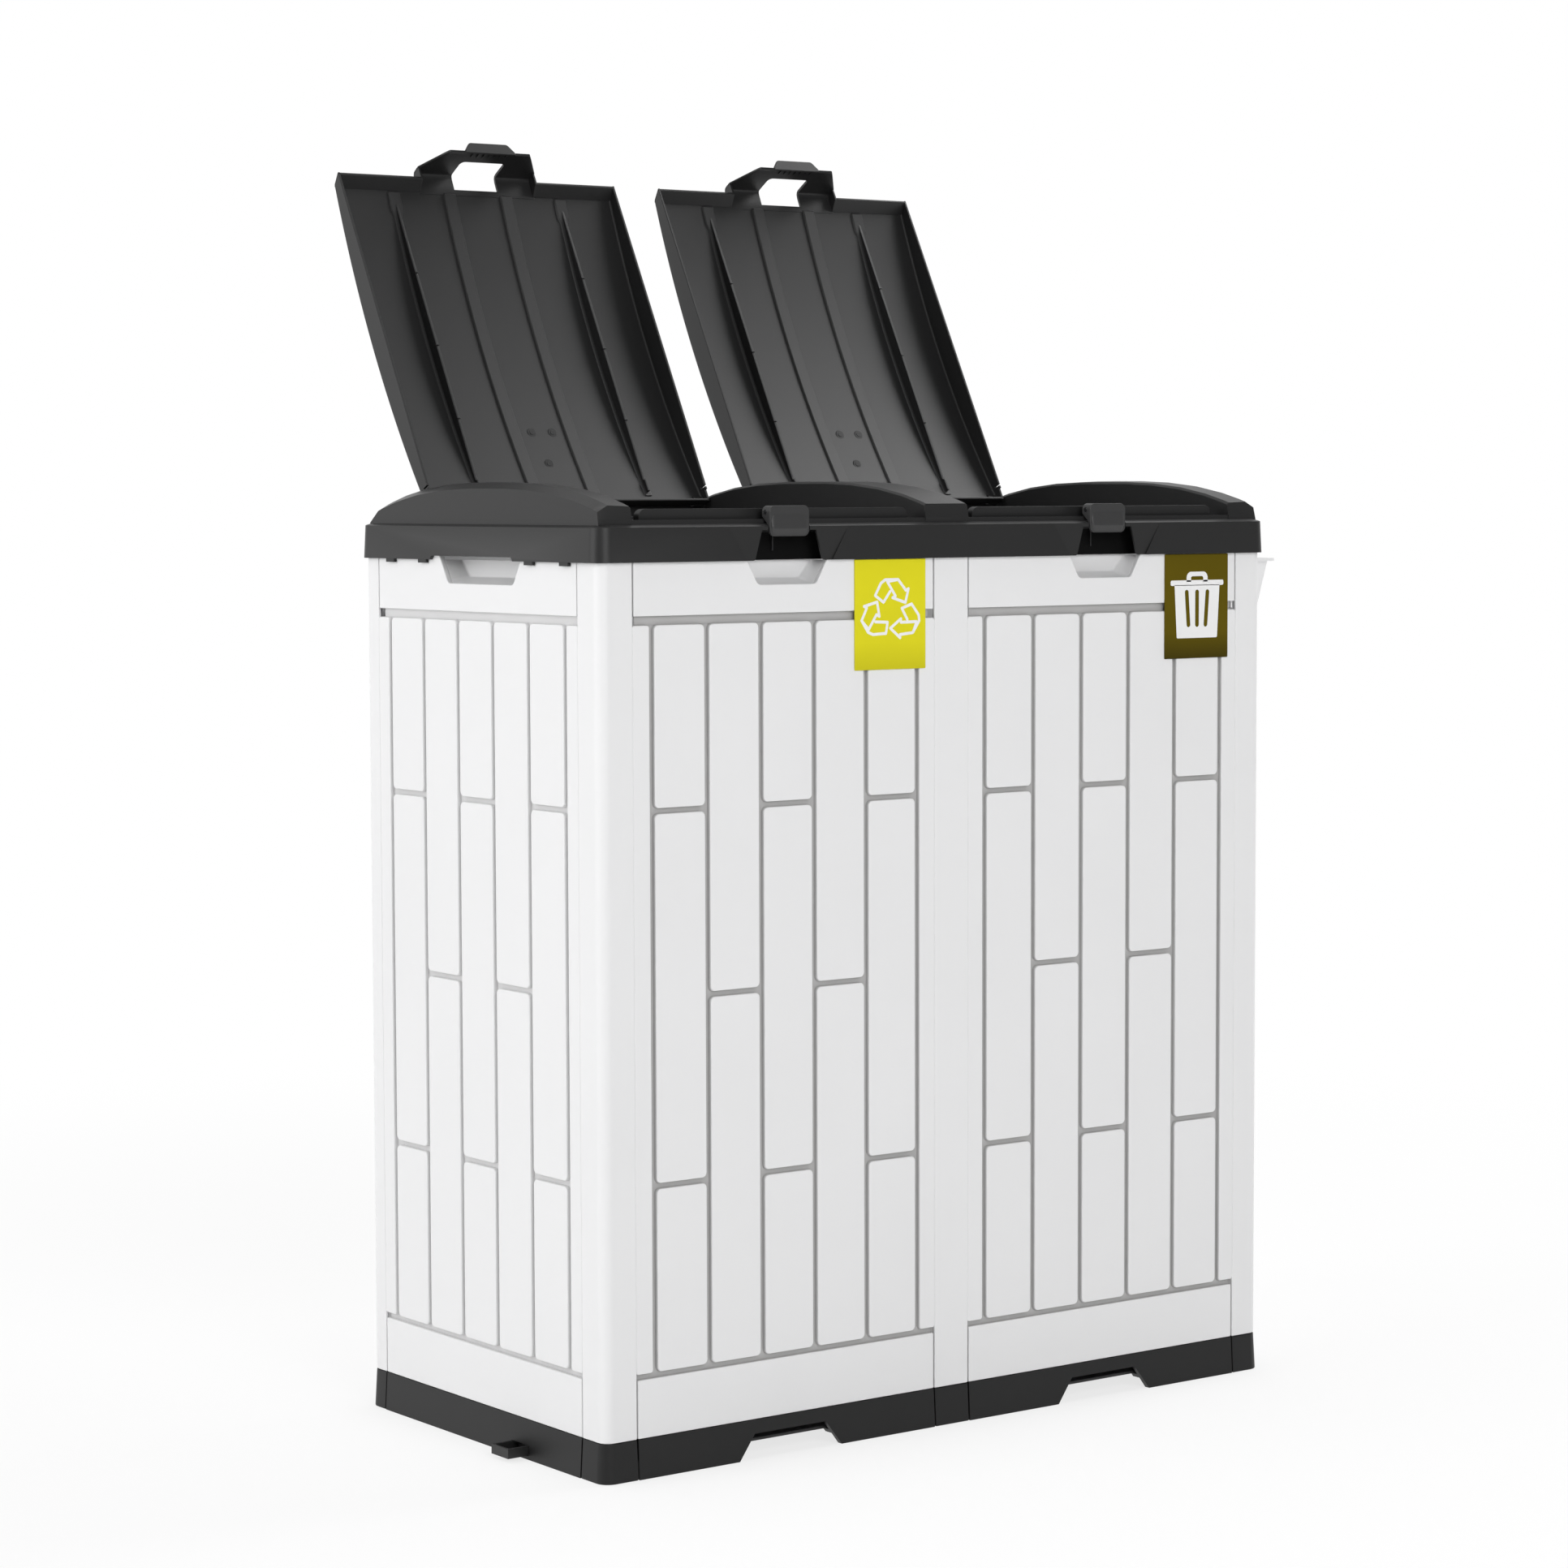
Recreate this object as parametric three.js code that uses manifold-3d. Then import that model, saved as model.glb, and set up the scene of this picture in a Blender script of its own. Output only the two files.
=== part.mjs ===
// A double recycling bin: a white plank-panelled cabinet on a black base, with two bag rings
// under two hinged lids. Millimetres, +Z up, +Y to the back, origin on the floor at the
// middle of the base. The lids are built closed and stand open at rest.
import * as THREE from 'three';
import { mergeVertices } from 'three/addons/utils/BufferGeometryUtils.js';
import Module from 'manifold-3d';

const wasm = await Module();
wasm.setup();

// ---------------------------------------------------------------- driving dimensions
const clearance = 0.35; // between pieces that touch
const seam = 1.4; // visible joint between panels, posts and base pieces

// plan
const panelWidth = 336; // one plank panel, on the front, the back and the sides
const cornerPostFace = 37.5; // corner post on the front and back faces
const frontPostSide = 37.5; // front corner post on the side faces
const backPostSide = 28.5; // back corner post on the side faces
const centrePostWidth = 41;
const cornerRadius = 11;
const faceInset = 2; // white faces behind the foot of the base

// heights, each on top of the last
const baseHeight = 36;
const bodyHeight = 776; // top of the base to the lower edge of the skirt
const skirtHeight = 30.5;
const ledgeRise = 2.5; // sloping shelf above the skirt
const deckRise = 4; // flat deck above the shelf
const archRise = 33.5; // peak of the arches above the deck

// base
const baseWall = 4;
const baseTopThickness = 4;
const baseTopWidth = 24; // of the flange that carries the walls
const ledgeWidth = 9; // of the shelf that carries the floor panels
const ledgeTop = 14;
const ledgeThickness = 4;
const tongueThickness = 3; // of the tongues that join the base pieces
const tongueReach = 11;
const tongueDrop = 10; // height of those tongues
const toeNotchTop = 80;
const toeNotchBottom = 117;
const toeNotchHeight = 23.4;
const beamWidth = 34;
const beamWall = 4;
const floorThickness = 3;

// walls
const postWall = 3;
const slotFin = 2.2; // inner side of the slots that hold the panels
const slotSetBack = 2; // of the fins from the post's edge
const panelTongue = 10; // panel edge inside the post
const panelBack = 2; // sheet behind the planks
const plankRelief = 3.5; // depth of the grooves
const plankCount = 5;
const plankMargin = 39.5; // of the panel beside its columns of planks
const plankGap = 5;
const plankCorner = 4.5;
const bottomRail = 53;
const topRail = 47; // from the groove band to the skirt
const topBand = 8;
const bottomBand = 5;
const dividerThickness = 3;
const dividerFinDepth = 12;

// hand holds, cut in the top rails
const holdHeight = 21; // below the skirt
const holdCorner = 7;
const holdDepth = 22;
const holdWall = 2;
const holdFloorRise = 5; // of the floor of the hold, at its back
const frontHoldBottom = 65;
const frontHoldTop = 88;
const sideHoldBottom = 110;
const sideHoldTop = 134;
const sideHoldShift = 10; // towards the front of the cabinet

// top frame
const skirtOverhang = 2; // beyond the foot of the base
const skirtTaper = 1.5;
const skirtThickness = 2.6;
const deckInset = 8;
const frameWall = 3;
const arcInset = 5.4; // outer face of the outer arches
const arcSlope = 1.6; // lean of that face
const archWidth = 35.8;
const centreArchWidth = 50.8;
const archChamferWidth = 11;
const archChamferDrop = 5.9;
const archFrontLean = 2.5;
const archBackLean = 14;
const archEndDrop = 20.5; // from the peak to the ends of the arch
const archPower = 2.75;
const archPeakShift = 6; // towards the front
const archSoftness = 2; // bevel of the centre arch
const archRoot = 2; // of the arches in the shelf
const archEndRise = 8; // height of the arches' blunt ends
const wellFront = 15.5; // front wall of the well, from the front of the base
const wellBackInset = 52; // from the back of the base
const wellFloor = 8.3; // below the deck
const wellFloorThickness = 3.7;
const throatSide = 18.5; // ledge under the bag ring at the sides
const throatFront = 13.5;
const throatBack = 17;
const bevelTop = 134; // shallow recess in the skirt that takes the lid tongue
const bevelBottom = 94;
const bevelDepth = 1.5;
const cutoutTop = 60; // finger opening in the skirt
const cutoutBottom = 76;
const cutoutHeight = 27;
const wellWallY = 20; // screen behind the finger opening
const sideNotchWidth = 143;
const sideNotchHeight = 3.5;
const sideNotchSlope = 4;
const pegWidth = 14;
const pegDrop = 3.2;
const pegPlaces = [-152.5, -95.5, 84.5, 141.5]; // from the middle of the side panel

// lids
const lidSideInset = 6.5; // from the panel's width, each side
const lidWall = 2.5;
const lidHingeInset = 42; // from the back of the base
const lidHingeRise = 14.3; // above the deck
const lidFront = 14.6; // front edge of the crown, from the front of the base
const lidCrown = 12.8;
const lidFrontSlope = 8.6;
const lidEdgeDrop = 13; // hinge to the lower edge of the sides
const lidBackRise = 1.7; // step in the sides' lower edge beside the back wall
const lidBackStep = 8; // hinge to that step
const lidBack = 4.5; // back wall behind the hinge
const lidBossRadius = 5; // round the pins
const ridgeGap = 2.5; // between the lid and the ridge behind it
const ridgeThickness = 3;
const ridgeHeight = 12; // above the deck
const lidRibOffset = 97;
const lidRibThickness = 3;
const lidRibFront = 14; // from the front of the crown
const lidRibBack = 12; // from the back wall
const lidRibEnd = 1.2; // depth of the ribs at their ends
const lidPadWidth = 11; // in front of each rib
const lidPadHeight = 1.5;
const lidBandOffset = 33;
const lidBandWidth = 14;
const lidBandHeight = 2;
const lidBandFront = 3; // from the front of the crown
const lidOpenAngle = 117.7; // degrees, from closed to the rest pose
const hingePinRadius = 3;
const hingePinLength = 17;
const hingePinInLid = 11;

// lid tongue with its window and finger tab
const tongueTopWidth = 136;
const tongueTipWidth = 92;
const tongueLength = 30.5; // below the front lip
const tongueStandOff = 11.2; // of its lower half, in front of the lip
const tongueShoulderDrop = 5; // bend between the crown and the tongue
const windowWidth = 51;
const windowSill = 14; // below the front lip
const windowFront = 0.5; // of the crown's edge in the window, in front of its front edge
const windowCorner = 5;
const tabWidth = 58;
const tabTipWidth = 40;
const tabReach = 9;

// latches
const latchWidth = 44;
const latchWall = 2.3;
const latchHeight = 27.5;
const latchSoftness = 5; // radius of its upper front edge
const latchDepth = 14;
const latchFront = 3; // in front of the foot of the base
const latchTopRise = 12; // above the deck
const latchPivotBack = 9; // behind its front face
const latchPivotDrop = 6; // below its top
const latchPinRadius = 2;
const latchLugWall = 1.2; // round its hole
const latchLugWidth = 6;
const latchLugOffset = 11;
const latchGap = 1.2; // each side of the latch in the frame
const latchPocket = 4.5; // depth of its notch, from the front of the base

// bag rings
const ringSideInset = 18; // from the panel's width, each side
const ringFront = 19; // from the front of the base
const ringBackInset = 57; // from the back of the base
const ringRail = 8;
const ringHeight = 8;
const ringLipHeight = 17.5; // of the front rail
const ringLipCorner = 7;
const ringPinRadius = 2.5;
const ringPinReach = 7;
const ringLugWall = 1.4;
const ringHeel = 3.5; // chamfer that lets it turn
const ringSideGap = 1.5;
const ringLugThickness = 4;

// tags
const tagWidth = 82;
const tagHeight = 101;
const tagThickness = 1;
const tagEdge = 11; // from the side of its panel

// side caddy
const caddySideInset = 27; // from the side panel's width, each side
const caddyReach = 70;
const caddyHeight = 44.5;
const caddyTaper = 7;
const caddyWall = 2.5;
const caddyRim = 5;
const caddyRimHeight = 3;
const caddyCorner = 6;
const caddyRimCorner = 8;
const caddyBelowSkirt = 7;
const caddyHookWidth = 20;
const caddyHookLength = 14;
const caddyHookOffset = 34;
const caddyHookThickness = 3;

// anchor bracket
const bracketWidth = 28;
const bracketReach = 21;
const bracketWall = 2.5;
const bracketBottom = 3.5;
const bracketHeight = 9;
const bracketY = 138; // from the front of the base
const bracketFlange = 5;
const bracketTail = 3; // inside the flange

// ---------------------------------------------------------------- derived sizes
const footprintWidth = 2 * (cornerPostFace + panelWidth) + centrePostWidth;
const footprintDepth = frontPostSide + panelWidth + backPostSide;
const halfWidth = footprintWidth / 2;
const halfDepth = footprintDepth / 2;
const front = -halfDepth;
const bayX = (panelWidth + centrePostWidth) / 2;
const plankPitch = (panelWidth - plankMargin) / plankCount;
const wellBack = footprintDepth - wellBackInset;
const lidWidth = panelWidth - 2 * lidSideInset;
const lidHingeY = footprintDepth - lidHingeInset; // from the front of the base
const lidReach = lidHingeY - lidFront; // hinge to the front edge of the crown
const ringWidth = panelWidth - 2 * ringSideInset;
const ringBack = footprintDepth - ringBackInset;
const caddyLength = panelWidth - 2 * caddySideInset;
const sidePanelY = front + frontPostSide + panelWidth / 2;
const skirtBottom = baseHeight + bodyHeight;
const skirtTop = skirtBottom + skirtHeight;
const shelfTop = skirtTop + ledgeRise;
const deckTop = shelfTop + deckRise;
const wallBottom = baseHeight + clearance;
const wallTop = skirtTop - clearance;
const wallHeight = wallTop - wallBottom;
const wellFloorTop = deckTop - wellFloor;
const tongueFace = postWall + clearance; // outer side of the panels' edges
const panelDepth = plankRelief + panelBack;
const lidHingeZ = deckTop + lidHingeRise;
const curveSteps = 3; // facets in a quarter round

// ---------------------------------------------------------------- materials
const whiteResin = new THREE.MeshStandardMaterial({ color: 0xf1f1f2, roughness: 0.45, metalness: 0 });
const blackResin = new THREE.MeshStandardMaterial({ color: 0x2b2b2d, roughness: 0.5, metalness: 0 });
const steel = new THREE.MeshStandardMaterial({ color: 0xb4b6b8, roughness: 0.3, metalness: 1 });
const limeTag = new THREE.MeshStandardMaterial({ color: 0xcfc824, roughness: 0.55, metalness: 0 });
const oliveTag = new THREE.MeshStandardMaterial({ color: 0x52480c, roughness: 0.55, metalness: 0 });

// ---------------------------------------------------------------- shape helpers
function toSolid(geometry) {
  const bare = geometry.clone();
  bare.deleteAttribute('normal');
  bare.deleteAttribute('uv');
  const merged = mergeVertices(bare, 1e-4);
  return new wasm.Manifold(new wasm.Mesh({
    numProp: 3,
    vertProperties: new Float32Array(merged.attributes.position.array),
    triVerts: new Uint32Array(merged.index.array),
  }));
}

function toGeometry(manifold) {
  const mesh = manifold.getMesh();
  const geometry = new THREE.BufferGeometry();
  geometry.setAttribute('position', new THREE.BufferAttribute(mesh.vertProperties, mesh.numProp));
  geometry.setIndex(new THREE.BufferAttribute(mesh.triVerts, 1));
  geometry.computeVertexNormals();
  return geometry;
}

function box(x0, x1, y0, y1, z0, z1) {
  const geometry = new THREE.BoxGeometry(x1 - x0, y1 - y0, z1 - z0);
  geometry.translate((x0 + x1) / 2, (y0 + y1) / 2, (z0 + z1) / 2);
  return toSolid(geometry);
}

function union(parts) {
  return parts.reduce((sum, part) => sum.add(part));
}

function outlineShape(points) {
  return new THREE.Shape(points.map(([a, b]) => new THREE.Vector2(a, b)));
}

// A shape's corner points, its curves cut into facets, with no point given twice.
function cornersOf(shape, steps = curveSteps) {
  const points = shape.getPoints(steps);
  return points.filter((p, i) => p.distanceTo(points[(i + 1) % points.length]) > 1e-3);
}

// A flat outline pushed along one axis. The outline is in XY, XZ or YZ.
function prism(shape, axis, from, to, steps = curveSteps) {
  const geometry = new THREE.ExtrudeGeometry(new THREE.Shape(cornersOf(shape, steps)), {
    depth: to - from, bevelEnabled: false,
  });
  geometry.translate(0, 0, from);
  if (axis === 'x') {
    geometry.applyMatrix4(new THREE.Matrix4().set(0, 0, 1, 0, 1, 0, 0, 0, 0, 1, 0, 0, 0, 0, 0, 1));
  }
  if (axis === 'y') {
    geometry.applyMatrix4(new THREE.Matrix4().set(1, 0, 0, 0, 0, 0, 1, 0, 0, 1, 0, 0, 0, 0, 0, 1));
    reverseWinding(geometry);
  }
  return toSolid(geometry);
}

function reverseWinding(geometry) {
  const position = geometry.attributes.position;
  const corner = new THREE.Vector3();
  const other = new THREE.Vector3();
  for (let i = 0; i < position.count; i += 3) {
    corner.fromBufferAttribute(position, i);
    other.fromBufferAttribute(position, i + 2);
    position.setXYZ(i, other.x, other.y, other.z);
    position.setXYZ(i + 2, corner.x, corner.y, corner.z);
  }
}

// A skin through sections of equal point counts, closed by flat ends.
function loft(sections) {
  const count = sections[0].length;
  const points = sections.flat();
  const index = [];
  for (let s = 0; s + 1 < sections.length; s += 1) {
    for (let i = 0; i < count; i += 1) {
      const j = (i + 1) % count;
      const a = s * count + i;
      const b = s * count + j;
      index.push(a, b, b + count, a, b + count, a + count);
    }
  }
  const flat = flatten(sections[0]);
  const last = (sections.length - 1) * count;
  for (const [a, b, c] of THREE.ShapeUtils.triangulateShape(flat, [])) {
    index.push(a, c, b, last + a, last + b, last + c);
  }
  const geometry = new THREE.BufferGeometry();
  const numbers = points.flatMap((p) => [p.x, p.y, p.z]);
  geometry.setAttribute('position', new THREE.Float32BufferAttribute(numbers, 3));
  geometry.setIndex(index);
  if (signedVolume(geometry) < 0) geometry.index.array.reverse();
  return toSolid(geometry);
}

// Section points seen along the axis that they share.
function flatten(section) {
  const axis = ['x', 'y', 'z'].find((k) => section.every((p) => Math.abs(p[k] - section[0][k]) < 1e-6));
  const [a, b] = ['x', 'y', 'z'].filter((k) => k !== axis);
  return section.map((p) => new THREE.Vector2(p[a], p[b]));
}

function signedVolume(geometry) {
  const position = geometry.attributes.position;
  const corners = [0, 1, 2].map(() => new THREE.Vector3());
  let volume = 0;
  for (let i = 0; i < geometry.index.count; i += 3) {
    corners.forEach((corner, k) => corner.fromBufferAttribute(position, geometry.index.getX(i + k)));
    volume += corners[0].dot(corners[1].cross(corners[2])) / 6;
  }
  return volume;
}

function cylinderX(radius, x0, x1, y, z, facets = 16) {
  const geometry = new THREE.CylinderGeometry(radius, radius, x1 - x0, facets);
  geometry.rotateZ(Math.PI / 2);
  geometry.translate((x0 + x1) / 2, y, z);
  return toSolid(geometry);
}

function roundedRect(x0, x1, y0, y1, radius) {
  const shape = new THREE.Shape();
  shape.absarc(x1 - radius, y1 - radius, radius, 0, Math.PI / 2);
  shape.absarc(x0 + radius, y1 - radius, radius, Math.PI / 2, Math.PI);
  shape.absarc(x0 + radius, y0 + radius, radius, Math.PI, 1.5 * Math.PI);
  shape.absarc(x1 - radius, y0 + radius, radius, 1.5 * Math.PI, 2 * Math.PI);
  shape.closePath();
  return shape;
}

// The cabinet's plan outline, moved in by inset, as a section at height z.
function planSection(inset, z) {
  const radius = cornerRadius + faceInset - inset;
  const shape = roundedRect(
    -halfWidth + inset, halfWidth - inset, -halfDepth + inset, halfDepth - inset, radius,
  );
  return cornersOf(shape).map((p) => new THREE.Vector3(p.x, p.y, z));
}

// A trapezoid in XZ, about x, with its two lower corners rounded.
function scoopShape(x, bottom, top, bottomWidth, topWidth, radius) {
  const shape = new THREE.Shape();
  const lean = Math.atan2((topWidth - bottomWidth) / 2, top - bottom);
  const turn = Math.PI / 2 - lean;
  const tangent = radius * Math.tan(turn / 2);
  const side = bottomWidth / 2;
  shape.moveTo(x - topWidth / 2, top);
  shape.lineTo(x - side - tangent * Math.sin(lean), bottom + tangent * Math.cos(lean));
  shape.quadraticCurveTo(x - side, bottom, x - side + tangent, bottom);
  shape.lineTo(x + side - tangent, bottom);
  shape.quadraticCurveTo(
    x + side, bottom, x + side + tangent * Math.sin(lean), bottom + tangent * Math.cos(lean),
  );
  shape.lineTo(x + topWidth / 2, top);
  shape.closePath();
  return shape;
}

const cabinet = new THREE.Group();

function addPiece(name, shape, material, place = {}) {
  const mesh = new THREE.Mesh(shape.isBufferGeometry ? shape : toGeometry(shape), material);
  mesh.name = name;
  mesh.position.set(place.x ?? 0, place.y ?? 0, place.z ?? 0);
  mesh.rotation.set(place.tilt ?? 0, 0, place.turn ?? 0);
  cabinet.add(mesh);
  return mesh;
}

// ---------------------------------------------------------------- base
function baseRing() {
  const outer = loft([planSection(0, 0), planSection(faceInset, baseHeight)]);
  const inside = loft([
    planSection(faceInset + baseWall, -1), planSection(faceInset + baseWall, baseHeight - baseTopThickness),
  ]);
  const middle = box(
    -halfWidth + baseTopWidth, halfWidth - baseTopWidth,
    -halfDepth + baseTopWidth, halfDepth - baseTopWidth, -1, baseHeight + 1,
  );
  return outer.subtract(inside).subtract(middle);
}

const baseShell = baseRing();
const halfSeam = seam / 2;
const leftSeam = -halfWidth + cornerPostFace;
const innerSeam = centrePostWidth / 2;
const frontSeam = front + frontPostSide;
const backSeam = halfDepth - backPostSide;

// Joining tongues and the floor shelf stand this far in from the foot of the base.
const tongueInset = faceInset + baseWall + clearance;

function baseRailAlongX(x0, x1, side) {
  const yRange = (near, far) => (
    side < 0 ? [front + near, front + far] : [halfDepth - far, halfDepth - near]
  );
  const clip = yRange(-1, baseTopWidth + 1);
  const lip = yRange(faceInset + baseWall - 1, tongueInset + ledgeWidth);
  const tie = yRange(tongueInset, tongueInset + tongueThickness);
  const block = yRange(faceInset + baseWall - 1, tongueInset + tongueThickness);
  const centre = (x0 + x1) / 2;
  const tieTop = baseHeight - baseTopThickness - clearance;
  const notch = outlineShape([
    [centre - toeNotchBottom / 2, -1], [centre + toeNotchBottom / 2, -1],
    [centre + toeNotchTop / 2, toeNotchHeight], [centre - toeNotchTop / 2, toeNotchHeight],
  ]);
  return baseShell.intersect(box(x0 + halfSeam, x1 - halfSeam, ...clip, -1, baseHeight + 1))
    .add(box(x0 + halfSeam, x1 - halfSeam, ...lip, ledgeTop - ledgeThickness, ledgeTop))
    .add(box(x0 + halfSeam, x1 - halfSeam, ...block, tieTop - ledgeThickness, tieTop + 1))
    .add(box(x0 - tongueReach, x1 + tongueReach, ...tie, tieTop - tongueDrop, tieTop))
    .subtract(prism(notch, 'y', ...clip));
}

function baseRailAlongY(side) {
  const xRange = (near, far) => (
    side < 0 ? [-halfWidth + near, -halfWidth + far] : [halfWidth - far, halfWidth - near]
  );
  const clip = xRange(-1, baseTopWidth + 1);
  const lip = xRange(faceInset + baseWall - 1, tongueInset + ledgeWidth);
  const tie = xRange(tongueInset, tongueInset + tongueThickness);
  const block = xRange(faceInset + baseWall - 1, tongueInset + tongueThickness);
  const tieTop = baseHeight - baseTopThickness - clearance;
  const slotY = front + bracketY;
  const slotHalf = bracketWidth / 2 + clearance;
  return baseShell.intersect(box(...clip, frontSeam + halfSeam, backSeam - halfSeam, -1, baseHeight + 1))
    .add(box(...lip, frontSeam + halfSeam, backSeam - halfSeam, ledgeTop - ledgeThickness, ledgeTop))
    .add(box(...block, frontSeam + halfSeam, backSeam - halfSeam, tieTop - ledgeThickness, tieTop + 1))
    .add(box(...tie, frontSeam - tongueReach, backSeam + tongueReach, tieTop - tongueDrop, tieTop))
    .subtract(box(
      ...clip, slotY - slotHalf, slotY + slotHalf,
      bracketBottom - clearance, bracketBottom + bracketHeight + clearance,
    ));
}

function cornerFoot(sideX, sideY) {
  const seamY = sideY < 0 ? frontPostSide : backPostSide;
  const xs = [sideX * (halfWidth + 1), sideX * (halfWidth - cornerPostFace + halfSeam)].sort((a, b) => a - b);
  const ys = [sideY * (halfDepth + 1), sideY * (halfDepth - seamY + halfSeam)].sort((a, b) => a - b);
  return baseShell.intersect(box(...xs, ...ys, -1, baseHeight + 1));
}

function centreFoot(side) {
  const ys = [side * (halfDepth + 1), side * (halfDepth - baseTopWidth - 1)].sort((a, b) => a - b);
  return baseShell.intersect(box(-innerSeam + halfSeam, innerSeam - halfSeam, ...ys, -1, baseHeight + 1));
}

for (const [sideX, xName] of [[-1, 'left'], [1, 'right']]) {
  for (const [sideY, yName] of [[-1, 'front'], [1, 'back']]) {
    addPiece(`corner_foot_${yName}_${xName}`, cornerFoot(sideX, sideY), blackResin);
    const ends = [sideX * -leftSeam, sideX * innerSeam].sort((a, b) => a - b);
    addPiece(`base_rail_${yName}_${xName}`, baseRailAlongX(ends[0], ends[1], sideY), blackResin);
  }
  addPiece(`base_rail_side_${xName}`, baseRailAlongY(sideX), blackResin);
}
addPiece('centre_foot_front', centreFoot(-1), blackResin);
addPiece('centre_foot_back', centreFoot(1), blackResin);

// A trough-shaped beam lies on the floor between the centre feet and carries the divider.
const beamEnd = halfDepth - faceInset - baseWall - clearance;
const beamLip = beamWidth / 2 - beamWall;
const beam = box(-beamWidth / 2, beamWidth / 2, -beamEnd, beamEnd, 0, ledgeTop)
  .subtract(box(-beamLip, beamLip, -beamEnd + beamWall, beamEnd - beamWall, beamWall, ledgeTop + 1));
addPiece('base_centre_beam', beam, blackResin);

const floorBottom = ledgeTop + clearance;
const floorTop = floorBottom + floorThickness;
const floorOuter = tongueInset + clearance + tongueThickness;
for (const [side, name] of [[-1, 'left'], [1, 'right']]) {
  const xs = [side * (halfWidth - floorOuter), side * (beamLip + clearance)].sort((a, b) => a - b);
  const floor = box(...xs, -halfDepth + floorOuter, halfDepth - floorOuter, floorBottom, floorTop);
  addPiece(`floor_panel_${name}`, floor, blackResin);
}

// ---------------------------------------------------------------- posts
// A slot along a post: the panel's edge stands between the post's face and an inner fin.
const slotDepth = clearance + panelBack + clearance;
const slotBottom = panelTongue + clearance;

function cornerPost(sideX, sideY) {
  const sideArm = sideY < 0 ? frontPostSide : backPostSide;
  const reachX = cornerPostFace - halfSeam;
  const reachY = sideArm - halfSeam;
  const shape = new THREE.Shape();
  const bend = faceInset + cornerRadius;
  const inner = faceInset + postWall;
  shape.moveTo(reachX, faceInset);
  shape.lineTo(reachX, inner);
  shape.absarc(bend, bend, cornerRadius - postWall, 1.5 * Math.PI, Math.PI, true);
  shape.lineTo(inner, reachY);
  shape.lineTo(faceInset, reachY);
  shape.absarc(bend, bend, cornerRadius, Math.PI, 1.5 * Math.PI);
  shape.closePath();
  const finOuter = inner + slotDepth + slotFin;
  const webX = cornerPostFace - slotBottom;
  const webY = sideArm - slotBottom;
  const finsX = box(webX - slotFin, reachX - slotSetBack, inner - 1, finOuter, 0, wallHeight)
    .subtract(box(webX, reachX + 1, inner, inner + slotDepth, -1, wallHeight + 1));
  const finsY = box(inner - 1, finOuter, webY - slotFin, reachY - slotSetBack, 0, wallHeight)
    .subtract(box(inner, inner + slotDepth, webY, reachY + 1, -1, wallHeight + 1));
  const post = prism(shape, 'z', 0, wallHeight).add(finsX).add(finsY);
  return post.scale([-sideX, -sideY, 1]);
}

for (const [sideX, xName] of [[-1, 'left'], [1, 'right']]) {
  for (const [sideY, yName] of [[-1, 'front'], [1, 'back']]) {
    const place = { x: sideX * halfWidth, y: sideY * halfDepth, z: wallBottom };
    addPiece(`corner_post_${yName}_${xName}`, cornerPost(sideX, sideY), whiteResin, place);
  }
}

function centrePost() {
  const reach = centrePostWidth / 2 - halfSeam;
  const inner = faceInset + postWall;
  const finOuter = inner + slotDepth + slotFin;
  const web = centrePostWidth / 2 - slotBottom;
  const channel = dividerThickness / 2 + clearance;
  let post = box(-reach, reach, faceInset, inner, 0, wallHeight);
  for (const side of [-1, 1]) {
    const xs = (a, b) => [side * a, side * b].sort((p, q) => p - q);
    post = post
      .add(box(...xs(web - slotFin, reach - slotSetBack), inner - 1, finOuter, 0, wallHeight))
      .subtract(box(...xs(web, reach + 1), inner, inner + slotDepth, -1, wallHeight + 1))
      .add(box(...xs(channel, channel + slotFin), inner - 1, inner + dividerFinDepth, 0, wallHeight));
  }
  return post;
}

addPiece('centre_post_front', centrePost(), whiteResin, { y: front, z: wallBottom });
addPiece('centre_post_back', centrePost(), whiteResin, { y: halfDepth, z: wallBottom, turn: Math.PI });

// ---------------------------------------------------------------- plank panels
// Drawn with the face at y = 0, looking along +Y, and its lower edge at z = 0.
const railTop = bottomRail - clearance;
const fieldTop = bodyHeight - topRail - clearance;

function plank(x0, x1, z0, z1) {
  return prism(roundedRect(x0, x1, z0, z1, plankCorner), 'y', 0, plankRelief + 1, 1);
}

function plankField() {
  const low = railTop + bottomBand;
  const high = fieldTop - topBand;
  const quarter = (high + topBand - plankGap - low) / 4;
  const edge = (panelWidth - seam) / 2;
  const boards = [];
  for (let column = 0; column < plankCount; column += 1) {
    const centre = (column - (plankCount - 1) / 2) * plankPitch;
    const x0 = centre - (plankPitch - plankGap) / 2;
    const x1 = centre + (plankPitch - plankGap) / 2;
    const joints = column % 2 === 0 ? [1, 3] : [2];
    const cuts = joints.map((k) => low + k * quarter);
    const ends = [low - plankGap / 2, ...cuts, high + plankGap / 2];
    for (let k = 0; k + 1 < ends.length; k += 1) {
      boards.push(plank(x0, x1, ends[k] + plankGap / 2, ends[k + 1] - plankGap / 2));
    }
  }
  const lastGroove = (plankCount * plankPitch + plankGap) / 2;
  for (const side of [-1, 1]) {
    const xs = [side * lastGroove, side * edge].sort((a, b) => a - b);
    boards.push(box(...xs, 0, plankRelief + 1, low, high));
  }
  return union(boards);
}

const boards = plankField();

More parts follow.
